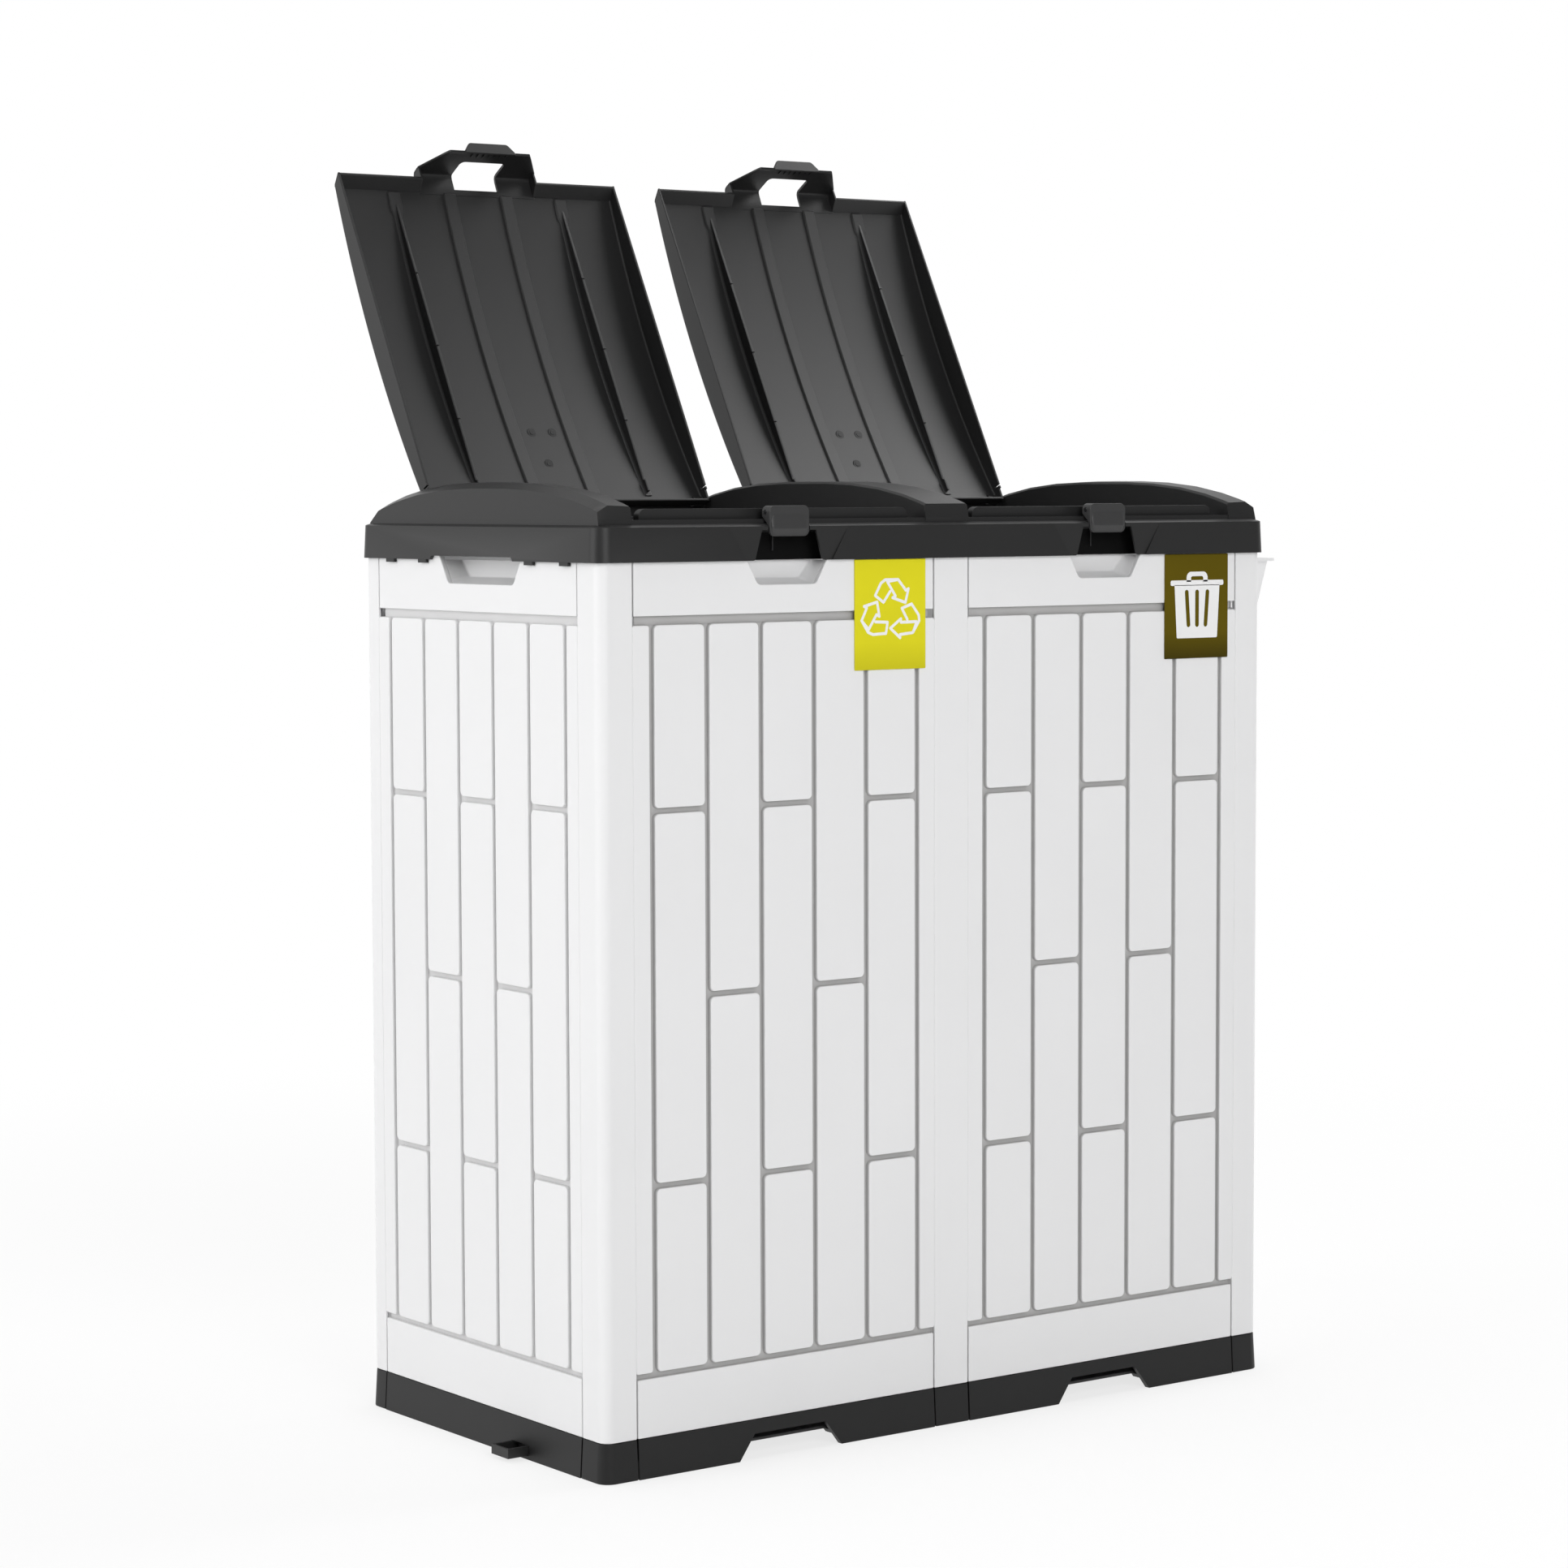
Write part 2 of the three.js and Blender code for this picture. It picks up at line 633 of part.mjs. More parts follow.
function plankPanel(hold) {
  const edge = (panelWidth - seam) / 2;
  const reach = panelWidth / 2 + panelTongue;
  let panel = box(-edge, edge, plankRelief, panelDepth, 0, wallHeight)
    .add(box(-reach, reach, tongueFace, panelDepth, 0, wallHeight))
    .add(box(-edge, edge, 0, panelDepth, 0, railTop))
    .add(box(-edge, edge, 0, panelDepth, fieldTop, wallHeight))
    .add(boards);
  if (hold) {
    const top = bodyHeight - clearance;
    const low = top - holdHeight;
    const grow = (hold.top - hold.bottom) / 2 / holdHeight;
    const openTop = hold.bottom + 2 * grow * (wallHeight - low);
    const walls = 2 * holdWall;
    const cup = scoopShape(hold.x, low - holdWall, top, hold.bottom + walls, hold.top + walls, holdCorner);
    const mouthTop = Math.min(openTop, hold.top);
    const mouth = scoopShape(hold.x, low, wallHeight + 1, hold.bottom, mouthTop, holdCorner);
    panel = panel
      .add(prism(cup, 'y', panelDepth - 1, holdDepth + holdWall))
      .subtract(holdInside(hold, low, top))
      .subtract(prism(mouth, 'y', -1, panelDepth));
  }
  return panel;
}

// The hold narrows and its floor rises towards the back.
function holdInside(hold, low, top) {
  const section = (y, lift, narrow) => {
    const shape = scoopShape(hold.x, low + lift, top + 1, hold.bottom - narrow, hold.top, holdCorner);
    return cornersOf(shape).map((p) => new THREE.Vector3(p.x, y, p.y));
  };
  return loft([section(panelDepth - 0.5, 0, 0), section(holdDepth, holdFloorRise, 2 * holdFloorRise)]);
}

// The front rail with the hand hold is a piece of its own, parted along the groove below it.
function partRail(whole) {
  const seamZ = fieldTop - topBand / 2;
  const above = (from) => box(-panelWidth, panelWidth, -1, 2 * holdDepth, from, wallHeight + 1);
  return { panel: whole.subtract(above(seamZ - clearance)), rail: whole.intersect(above(seamZ)) };
}

const frontHold = { x: 0, bottom: frontHoldBottom, top: frontHoldTop };
const leftHold = { x: sideHoldShift, bottom: sideHoldBottom, top: sideHoldTop };
const rightHold = { x: -sideHoldShift, bottom: sideHoldBottom, top: sideHoldTop };
for (const [side, name] of [[-1, 'left'], [1, 'right']]) {
  const frontPlace = { x: side * bayX, y: front + faceInset, z: wallBottom };
  const { panel, rail } = partRail(plankPanel(frontHold));
  addPiece(`front_panel_${name}`, panel, whiteResin, frontPlace);
  addPiece(`front_rail_${name}`, rail, whiteResin, frontPlace);
  addPiece(`back_panel_${name}`, plankPanel(null), whiteResin, {
    x: side * bayX, y: halfDepth - faceInset, z: wallBottom, turn: Math.PI,
  });
  addPiece(`side_panel_${name}`, plankPanel(side < 0 ? leftHold : rightHold), whiteResin, {
    x: side * (halfWidth - faceInset), y: sidePanelY, z: wallBottom, turn: side * Math.PI / 2,
  });
}

// The divider stands in the beam's trough, between the fins of the centre posts.
const dividerEnd = halfDepth - faceInset - postWall - clearance;
const dividerFoot = halfDepth - baseTopWidth - clearance;
const dividerTop = wellFloorTop - wellFloorThickness - clearance;
const dividerHalf = dividerThickness / 2;
addPiece('divider', box(-dividerHalf, dividerHalf, -dividerEnd, dividerEnd, wallBottom, dividerTop).add(
  box(-dividerHalf, dividerHalf, -dividerFoot, dividerFoot, beamWall + clearance, wallBottom + 1),
), whiteResin);

// ---------------------------------------------------------------- top frame
const archFront = front + deckInset;
const archBack = halfDepth - deckInset;
const archPeakY = -archPeakShift;

function archHeight(y) {
  const reach = y < archPeakY ? archPeakY - (archFront + archFrontLean) : archBack - archBackLean - archPeakY;
  const share = Math.abs(y - archPeakY) / reach;
  return deckTop + archRise - archEndDrop * share ** archPower;
}

// Stations close up towards the ends, where the arch curves most.
function archStations(inset) {
  const steps = inset > 0 ? 8 : 12;
  const y0 = archFront + archFrontLean + inset;
  const y1 = archBack - archBackLean - inset;
  return Array.from({ length: steps + 1 }, (_, i) => {
    const t = i / steps;
    const eased = 0.5 - 0.5 * Math.cos(Math.PI * t) * (0.6 + 0.4 * Math.abs(Math.cos(Math.PI * t)));
    return y0 + (y1 - y0) * eased;
  });
}

// side: -1 left, 0 centre, 1 right. inset makes the hollow inside the arch.
function arch(side, inset, foot) {
  const section = (y, top) => {
    let points;
    if (side === 0) {
      const w = centreArchWidth / 2 - inset;
      points = [
        [-w, foot], [w, foot], [w, top - archSoftness], [w - archSoftness, top],
        [-w + archSoftness, top], [-w, top - archSoftness],
      ];
    } else {
      const outer = -halfWidth + arcInset + inset;
      const inner = -halfWidth + arcInset + archWidth - inset;
      const lean = arcSlope * (top - deckTop) / archRise;
      const chamferFoot = Math.max(top - archChamferDrop, foot + 1);
      points = [
        [outer, foot], [inner, foot], [inner, top - 3], [inner - 2, top - 0.8],
        [outer + lean + archChamferWidth, top], [outer + lean, chamferFoot],
      ];
      if (side > 0) points = points.map(([x, z]) => [-x, z]).reverse();
    }
    return points.map(([x, z]) => new THREE.Vector3(x, y, z));
  };
  const tops = archStations(inset).map((y) => section(y, archHeight(y) - inset));
  const ends = [
    section(archFront + inset, foot + archEndRise),
    ...tops,
    section(archBack - inset, foot + archEndRise),
  ];
  return loft(ends);
}

function topFrame() {
  const skirt = loft([
    planSection(-skirtOverhang, skirtBottom),
    planSection(skirtTaper - skirtOverhang, skirtTop),
    planSection(skirtTaper - skirtOverhang + 1, skirtTop + 0.6),
    planSection(deckInset - 1, shelfTop),
    planSection(deckInset, shelfTop),
    planSection(deckInset + 0.8, deckTop),
  ]);
  const hollow = loft([
    planSection(skirtThickness - skirtOverhang + 1, skirtBottom - 1),
    planSection(skirtThickness - skirtOverhang + 1, skirtTop),
  ]);
  const underDeck = loft([
    planSection(deckInset + frameWall, skirtTop - 1), planSection(deckInset + frameWall, deckTop - frameWall),
  ]);
  let frame = skirt.subtract(hollow).subtract(underDeck);

  const wellY = [front + wellFront, front + wellBack];
  const floorBottomZ = wellFloorTop - wellFloorThickness;
  const wells = [];
  const throats = [];
  for (const side of [-1, 1]) {
    const outerX = halfWidth - arcInset - archWidth;
    const innerX = centreArchWidth / 2;
    const xs = [side * outerX, side * innerX].sort((a, b) => a - b);
    frame = frame.add(box(
      xs[0] - frameWall, xs[1] + frameWall, wellY[0] - frameWall, wellY[1] + frameWall, floorBottomZ, deckTop,
    ));
    frame = frame.add(box(
      xs[0], xs[1], front + wellWallY, front + wellWallY + frameWall,
      skirtBottom + clearance, floorBottomZ + 1,
    ));
    const ridgeY = front + lidHingeY + lidBack + ridgeGap;
    frame = frame.add(box(
      xs[0] - 1, xs[1] + 1, ridgeY, ridgeY + ridgeThickness, deckTop - 1, deckTop + ridgeHeight,
    ));
    wells.push(box(...xs, ...wellY, wellFloorTop, deckTop + archRise));
    throats.push(box(
      xs[0] + throatSide, xs[1] - throatSide, wellY[0] + throatFront, wellY[1] - throatBack,
      skirtBottom, deckTop + archRise,
    ));
  }
  for (const side of [-1, 0, 1]) {
    frame = frame.add(arch(side, 0, shelfTop - archRoot));
    frame = frame.subtract(arch(side, frameWall, floorBottomZ - 1));
  }
  for (const cut of [...wells, ...throats]) frame = frame.subtract(cut);
  return finishFrame(frame);
}

// Finger openings, side notches, pegs, and the lugs of the latches, lids and bag rings.
function finishFrame(shell) {
  let frame = shell;
  for (const side of [-1, 1]) {
    const x = side * bayX;
    const bevel = outlineShape([
      [x - bevelBottom / 2, skirtBottom - 1], [x + bevelBottom / 2, skirtBottom - 1],
      [x + bevelTop / 2, skirtTop], [x - bevelTop / 2, skirtTop],
    ]);
    const cutout = outlineShape([
      [x - cutoutBottom / 2, skirtBottom - 1], [x + cutoutBottom / 2, skirtBottom - 1],
      [x + cutoutTop / 2, skirtBottom + cutoutHeight], [x - cutoutTop / 2, skirtBottom + cutoutHeight],
    ]);
    frame = frame
      .subtract(prism(bevel, 'y', front - skirtOverhang - 1, front - skirtOverhang + bevelDepth))
      .subtract(prism(cutout, 'y', front - skirtOverhang - 1, front + wellFront - frameWall))
      .subtract(box(
        x - latchWidth / 2 - latchGap, x + latchWidth / 2 + latchGap,
        front - skirtOverhang - 1, front + latchPocket,
        skirtBottom + cutoutHeight - 1, deckTop,
      ));
    for (const lugSide of [-1, 1]) frame = frame.add(latchLug(x + lugSide * latchLugOffset));
    const notch = outlineShape([
      [sidePanelY - sideNotchWidth / 2, skirtBottom - 1], [sidePanelY + sideNotchWidth / 2, skirtBottom - 1],
      [sidePanelY + sideNotchWidth / 2 - sideNotchSlope, skirtBottom + sideNotchHeight],
      [sidePanelY - sideNotchWidth / 2 + sideNotchSlope, skirtBottom + sideNotchHeight],
    ]);
    const wallX = [side * (halfWidth + skirtOverhang + 1), side * (halfWidth - 3)].sort((a, b) => a - b);
    frame = frame.subtract(prism(notch, 'x', ...wallX));
    frame = addPegs(frame, side);
  }
  return frame;
}

function addPegs(shell, side) {
  const xs = [side * (halfWidth + skirtOverhang - 0.6), side * (halfWidth - 1.6)].sort((a, b) => a - b);
  return pegPlaces.reduce((frame, place) => frame.add(box(
    ...xs, sidePanelY + place - pegWidth / 2, sidePanelY + place + pegWidth / 2,
    skirtBottom - pegDrop, skirtBottom + 1,
  )), shell);
}

const latchTop = deckTop + latchTopRise;
const latchPivotY = front - latchFront + latchPivotBack;
const latchPivotZ = latchTop - latchPivotDrop;

function latchLug(x) {
  const radius = latchPinRadius + latchLugWall;
  const x0 = x - latchLugWidth / 2;
  const x1 = x + latchLugWidth / 2;
  return box(x0, x1, latchPivotY - radius, latchPivotY + radius, skirtTop, latchPivotZ)
    .add(cylinderX(radius, x0, x1, latchPivotY, latchPivotZ, 12));
}

const ringPivotY = front + ringBack - ringHeight / 2;
const ringBottom = wellFloorTop + clearance;
const ringPivotZ = ringBottom + ringHeight / 2;

function pinHoles() {
  const holes = [];
  for (const side of [-1, 1]) {
    const x = side * bayX;
    const reach = lidWidth / 2 + hingePinLength;
    holes.push(cylinderX(
      hingePinRadius + clearance, x - reach, x + reach, front + lidHingeY, lidHingeZ, 12,
    ));
    holes.push(cylinderX(
      latchPinRadius + clearance, x - latchWidth / 2, x + latchWidth / 2, latchPivotY, latchPivotZ, 12,
    ));
  }
  return holes;
}

function ringLugs(shell) {
  let frame = shell;
  const radius = ringPinRadius + ringLugWall;
  for (const side of [-1, 1]) {
    for (const end of [-1, 1]) {
      const near = side * bayX + end * (ringWidth / 2 + ringSideGap);
      const xs = [near, near + end * ringLugThickness].sort((a, b) => a - b);
      frame = frame
        .add(box(...xs, ringPivotY - radius, ringPivotY + radius, wellFloorTop - 1, ringPivotZ + radius))
        .subtract(cylinderX(ringPinRadius + clearance, xs[0] - 1, xs[1] + 1, ringPivotY, ringPivotZ, 12));
    }
  }
  return frame;
}

let frameSolid = ringLugs(topFrame());
for (const hole of pinHoles()) frameSolid = frameSolid.subtract(hole);
addPiece('top_frame', frameSolid, blackResin);

// ---------------------------------------------------------------- lids
// Drawn closed, with the hinge axis at the origin and the front towards -Y.
function crownArc(drop, back, frontEnd) {
  const radius = (lidReach * lidReach / 4 + lidCrown * lidCrown) / (2 * lidCrown);
  const centreY = -lidReach / 2;
  const steps = 12;
  return Array.from({ length: steps + 1 }, (_, i) => {
    const y = back + (frontEnd - back) * i / steps;
    const rise = Math.sqrt(radius * radius - (y - centreY) ** 2) - (radius - lidCrown);
    return [y, rise - drop];
  });
}

const lidLow = -lidEdgeDrop;
const lipY = -lidReach - lidFrontSlope;

function lidShell() {
  const outer = outlineShape([
    ...crownArc(0, lidBack, -lidReach), [lipY, lidLow], [-lidBackStep, lidLow],
    [-lidBackStep, lidLow + lidBackRise], [lidBack, lidLow + lidBackRise],
  ]);
  const inner = outlineShape([
    ...crownArc(lidWall, lidBack - lidWall, -lidReach + lidWall),
    [lipY + lidWall, lidLow - 1], [lidBack - lidWall, lidLow - 1],
  ]);
  const halfLid = lidWidth / 2;
  const bossInner = halfLid - hingePinInLid - lidWall;
  return prism(outer, 'x', -halfLid, halfLid)
    .subtract(prism(inner, 'x', -halfLid + lidWall, halfLid - lidWall))
    .add(cylinderX(lidBossRadius, -halfLid, -bossInner, 0, 0, 16).add(bossWeb(-halfLid, -bossInner)))
    .add(cylinderX(lidBossRadius, bossInner, halfLid, 0, 0, 16).add(bossWeb(bossInner, halfLid)))
    .intersect(prism(outer, 'x', -halfLid, halfLid));
}

// Ties a pin's boss to the back wall and the crown.
function bossWeb(x0, x1) {
  return box(x0, x1, 0, lidBack, -lidBossRadius, 0);
}

// Two stiffening ribs, deepest in the middle, and two shallow raised bands under the crown.
function lidStiffeners() {
  const ribFront = -lidReach + lidRibFront;
  const ribBack = lidBack - lidWall - lidRibBack;
  const under = lidWall / 2;
  const rib = outlineShape([
    ...crownArc(under, ribBack, ribFront),
    ...crownArc(lidWall + lidRibEnd, ribFront, ribBack).filter((_, i, arc) => i === 0 || i === arc.length - 1),
  ]);
  const strip = (from, to, height) => outlineShape([
    ...crownArc(under, to, from), ...crownArc(lidWall + height, to, from).reverse(),
  ]);
  const bandFront = -lidReach + lidBandFront;
  const band = strip(bandFront, lidBack - lidWall / 2, lidBandHeight);
  const pad = strip(bandFront, ribFront + lidPadWidth / 2, lidPadHeight);
  const pieces = [];
  for (const side of [-1, 1]) {
    const ribX = side * lidRibOffset;
    const bandX = side * lidBandOffset;
    pieces.push(prism(rib, 'x', ribX - lidRibThickness / 2, ribX + lidRibThickness / 2));
    pieces.push(prism(pad, 'x', ribX - lidPadWidth / 2, ribX + lidPadWidth / 2));
    pieces.push(prism(band, 'x', bandX - lidBandWidth / 2, bandX + lidBandWidth / 2));
  }
  return union(pieces);
}

// The crown runs on over the front edge, stands off the skirt and bends down into the tongue,
// which ends in a finger tab.
const tongueTipZ = lidLow - tongueLength;
const tongueOff = lipY - tongueStandOff;

function lidTongue() {
  const side = outlineShape([
    [-lidReach + lidWall, 0], [tongueOff + lidWall, -1], [tongueOff, -tongueShoulderDrop],
    [tongueOff - lidWall, tongueTipZ], [tongueOff, tongueTipZ],
    [tongueOff + lidWall, -tongueShoulderDrop - 1], [tongueOff + 2 * lidWall, -1 - lidWall],
    [-lidReach + lidWall, -lidWall],
  ]);
  const frontView = outlineShape([
    [-tongueTipWidth / 2, tongueTipZ], [tongueTipWidth / 2, tongueTipZ],
    [tongueTopWidth / 2, lidLow], [tongueTopWidth / 2, lidWall],
    [-tongueTopWidth / 2, lidWall], [-tongueTopWidth / 2, lidLow],
  ]);
  const blade = prism(side, 'x', -tongueTopWidth / 2, tongueTopWidth / 2)
    .intersect(prism(frontView, 'y', tongueOff - tongueStandOff, 0));
  const face = tongueOff - lidWall;
  const tab = outlineShape([
    [-tabWidth / 2, face + 0.5], [-tabTipWidth / 2, face - tabReach],
    [tabTipWidth / 2, face - tabReach], [tabWidth / 2, face + 0.5],
  ]);
  return blade.add(prism(tab, 'z', tongueTipZ, tongueTipZ + lidWall)).add(tongueCheeks());
}

// Close the tongue's shoulder at its two sides.
function tongueCheeks() {
  const cheek = outlineShape([
    [-lidReach + lidWall, 0], [tongueOff + lidWall, -1], [tongueOff, -tongueShoulderDrop],
    [tongueOff - lidWall / 4, lidLow], [lipY, lidLow], [lipY + lidWall, lidLow],
    [-lidReach + lidWall, -lidWall],
  ]);
  const x = tongueTopWidth / 2;
  return prism(cheek, 'x', -x, -x + lidWall).add(prism(cheek, 'x', x - lidWall, x));
}

// Inside the tongue the front lip is cut away. The window runs back over the front edge of the
// crown, far enough to clear the latch.
function lid() {
  const inTongue = tongueTopWidth / 2 - lidWall;
  const lipCut = box(-inTongue, inTongue, lipY - 1, -lidReach + lidWall, lidLow - 1, -lidWall - 1);
  const window = roundedRect(
    -windowWidth / 2, windowWidth / 2, lidLow - windowSill, lidCrown + windowCorner, windowCorner,
  );
  const halfLid = lidWidth / 2;
  const holeEnd = halfLid - hingePinInLid - 1;
  return lidShell().add(lidStiffeners()).subtract(lipCut).add(lidTongue())
    .subtract(prism(window, 'y', tongueOff - 2 * lidWall, -lidReach - windowFront))
    .subtract(cylinderX(hingePinRadius + clearance, -halfLid - 1, -holeEnd, 0, 0, 12))
    .subtract(cylinderX(hingePinRadius + clearance, holeEnd, halfLid + 1, 0, 0, 12));
}

const lidTilt = -THREE.MathUtils.degToRad(lidOpenAngle);
for (const [side, name] of [[-1, 'left'], [1, 'right']]) {
  const place = { x: side * bayX, y: front + lidHingeY, z: lidHingeZ };
  addPiece(`lid_${name}`, lid(), blackResin, { ...place, tilt: lidTilt });
  for (const [end, endName] of [[-1, 'left'], [1, 'right']]) {
    const from = end * (lidWidth / 2 - hingePinInLid);
    const xs = [from, from + end * hingePinLength].sort((a, b) => a - b);
    addPiece(`lid_${name}_pin_${endName}`, cylinderX(hingePinRadius, ...xs, 0, 0, 12), steel, place);
  }
}

// ---------------------------------------------------------------- latches
function latch() {
  const faceY = -latchPivotBack;
  const top = latchPivotDrop;
  const bottom = top - latchHeight;
  const back = faceY + latchDepth;
  const outer = new THREE.Shape();
  outer.moveTo(faceY, bottom);
  outer.lineTo(faceY + latchWall, bottom);
  outer.lineTo(faceY + latchWall + 3.5, bottom + 11);
  outer.lineTo(back, top - latchPivotDrop - 3);
  outer.lineTo(back, top - 3);
  outer.lineTo(back - 2, top);
  outer.lineTo(faceY + latchSoftness, top);
  outer.absarc(faceY + latchSoftness, top - latchSoftness, latchSoftness, Math.PI / 2, Math.PI);
  outer.closePath();
  const inside = outlineShape([
    [faceY + latchWall, bottom - 1], [back + 1, bottom - 1], [back + 1, top - latchWall],
    [faceY + latchSoftness, top - latchWall], [faceY + latchWall, top - latchSoftness],
  ]);
  const w = latchWidth / 2;
  return prism(outer, 'x', -w, w)
    .subtract(prism(inside, 'x', -w + latchWall, w - latchWall))
    .subtract(cylinderX(latchPinRadius + clearance, -w - 1, w + 1, 0, 0, 12));
}

for (const [side, name] of [[-1, 'left'], [1, 'right']]) {
  const place = { x: side * bayX, y: latchPivotY, z: latchPivotZ };
  addPiece(`latch_${name}`, latch(), blackResin, place);
  const reach = latchWidth / 2 - 0.2;
  addPiece(`latch_${name}_pin`, cylinderX(latchPinRadius, -reach, reach, 0, 0, 12), steel, place);
}

// ---------------------------------------------------------------- bag rings
// Drawn with the pivot at the origin.
function bagRing() {
  const w = ringWidth / 2;
  const frontY = ringFront - ringBack + ringHeight / 2;
  const backY = ringHeight / 2;
  const low = -ringHeight / 2;
  const high = ringHeight / 2;
  const rails = box(-w, w, frontY, backY, low, high)
    .subtract(box(-w + ringRail, w - ringRail, frontY + ringRail, backY - ringRail, low - 1, high + 1));
  const lipTop = low + ringLipHeight;
  const lipShape = new THREE.Shape();
  lipShape.moveTo(-w, low);
  lipShape.lineTo(w, low);
  lipShape.absarc(w - ringLipCorner, lipTop - ringLipCorner, ringLipCorner, 0, Math.PI / 2);
  lipShape.absarc(-w + ringLipCorner, lipTop - ringLipCorner, ringLipCorner, Math.PI / 2, Math.PI);
  lipShape.closePath();
  const chamfer = outlineShape([
    [backY - ringHeel, low - 0.1], [backY + 0.1, low - 0.1], [backY + 0.1, low + ringHeel],
  ]);
  return rails.add(prism(lipShape, 'y', frontY, frontY + ringRail))
    .subtract(prism(chamfer, 'x', -w - 1, w + 1))
    .add(cylinderX(ringPinRadius, -w - ringPinReach, -w + 1, 0, 0, 12))
    .add(cylinderX(ringPinRadius, w - 1, w + ringPinReach, 0, 0, 12));
}

for (const [side, name] of [[-1, 'left'], [1, 'right']]) {
  addPiece(`bag_ring_${name}`, bagRing(), blackResin, { x: side * bayX, y: ringPivotY, z: ringPivotZ });
}

// ---------------------------------------------------------------- tags, caddy, bracket
for (const [side, name, finish] of [[-1, 'recycling', limeTag], [1, 'waste', oliveTag]]) {
  const right = side * bayX + panelWidth / 2 - tagEdge;
  const back = front + faceInset - clearance;
  const top = skirtBottom - clearance;
  const tag = box(right - tagWidth, right, back - tagThickness, back, top - tagHeight, top);
  addPiece(`tag_${name}`, tag, finish);
}

// An open trough with an outward rim and two tongues that rest in the right hand hold.
function caddy() {
  const section = (inset, z, taper) => {
    const shape = roundedRect(
      inset, caddyReach - taper - inset, -caddyLength / 2 + inset + taper, caddyLength / 2 - inset - taper,
      caddyCorner - inset,
    );
    return cornersOf(shape).map((p) => new THREE.Vector3(p.x, p.y, z));
  };
  const rimPoints = (z) => cornersOf(roundedRect(
    0, caddyReach + caddyRim, -caddyLength / 2 - caddyRim, caddyLength / 2 + caddyRim, caddyRimCorner,
  )).map((p) => new THREE.Vector3(p.x, p.y, z));
  const body = loft([section(0, 0, caddyTaper), section(0, caddyHeight, 0)]);
  const rim = loft([rimPoints(caddyHeight - caddyRimHeight), rimPoints(caddyHeight)]);
  const inside = loft([section(caddyWall, caddyWall, caddyTaper), section(caddyWall, caddyHeight + 1, 0)]);
  let shape = body.add(rim).subtract(inside);
  const holdSlope = holdFloorRise * caddyHookLength / holdDepth;
  const hookBottom = caddyHeight + caddyBelowSkirt - holdHeight + holdSlope + clearance;
  for (const end of [-1, 1]) {
    const y = -sideHoldShift + end * caddyHookOffset;
    shape = shape.add(box(
      -caddyHookLength, 1, y - caddyHookWidth / 2, y + caddyHookWidth / 2,
      hookBottom, hookBottom + caddyHookThickness,
    ));
  }
  return shape;
}

addPiece('side_caddy', caddy(), whiteResin, {
  x: halfWidth - faceInset + clearance, y: sidePanelY, z: skirtBottom - caddyBelowSkirt - caddyHeight,
});

// A shallow tray that pushes out through the slot in the left base rail.
function bracket() {
  const w = bracketWidth / 2;
  const inside = faceInset + baseWall + clearance;
  const tray = box(-bracketReach, inside + bracketTail, -w, w, 0, bracketHeight)
    .subtract(box(
      -bracketReach + bracketWall, inside + bracketTail + 1, -w + bracketWall, w - bracketWall,
      bracketWall, bracketHeight + 1,
    ));
  const flangeTop = ledgeTop - ledgeThickness - clearance - bracketBottom;
  const flange = box(inside, inside + bracketWall, -w - bracketFlange, w + bracketFlange, 0.5, flangeTop);
  return tray.add(flange);
}

addPiece('anchor_bracket', bracket(), blackResin, { x: -halfWidth, y: front + bracketY, z: bracketBottom });

export default cabinet;
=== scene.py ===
import math

import bmesh
import bpy
from mathutils import Matrix, Vector


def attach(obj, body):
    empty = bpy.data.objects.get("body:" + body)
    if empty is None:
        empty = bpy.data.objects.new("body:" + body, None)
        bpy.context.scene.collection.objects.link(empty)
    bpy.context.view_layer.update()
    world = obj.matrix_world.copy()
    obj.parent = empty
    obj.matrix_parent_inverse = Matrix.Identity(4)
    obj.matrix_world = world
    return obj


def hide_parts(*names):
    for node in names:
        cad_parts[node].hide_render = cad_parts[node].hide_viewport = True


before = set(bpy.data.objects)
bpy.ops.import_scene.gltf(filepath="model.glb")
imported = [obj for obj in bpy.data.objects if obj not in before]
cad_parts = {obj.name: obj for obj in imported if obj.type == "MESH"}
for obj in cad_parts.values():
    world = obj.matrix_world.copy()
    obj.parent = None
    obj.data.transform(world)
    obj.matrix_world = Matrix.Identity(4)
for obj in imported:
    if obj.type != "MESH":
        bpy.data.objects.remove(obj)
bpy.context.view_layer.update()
MM = 0.001

# ------------------------------------------------------------------ dimensions shared with the CAD
HALF_W, HALF_D = 394.0, 201.0  # the cabinet's outline
BAY_X, SIDE_Y = 188.5, 4.5  # the middle of a bay and of a side panel
PANEL, SEAM, INSET = 336.0, 1.4, 2.0  # a panel's width, the seam beside it, its face behind the outline
EDGE = (PANEL - SEAM) / 2
WALL_BOTTOM, WALL_TOP = 36.35, 842.15
WALL_H = WALL_TOP - WALL_BOTTOM
SKIRT_BOTTOM = 812.0
CUTOUT_HALF = 37.7  # of the skirt's cut-out in front of a hand hold

# Inside a panel, heights start at WALL_BOTTOM and depths at its face.
GROOVE, DEPTH = 4.5, 5.5  # the grooves' floor and the sheet's back
COLUMNS, PITCH, GAP, CORNER = 5, 59.3, 5.0, 4.5
RAIL_TOP, FIELD_TOP = 52.65, 728.65
LOW, HIGH = 57.65, 720.65  # the planks' ends
TONGUE_FACE, TONGUE_REACH = 3.35, 10
BODY_TOP = SKIRT_BOTTOM - WALL_BOTTOM - 0.35
HOLD_RISE = 21  # of a hand hold's cup, which ends at BODY_TOP
SHADE_START, SHADE_SPAN = 0.5, 2.0  # where the painted shade in a groove begins, and how much deeper it is full
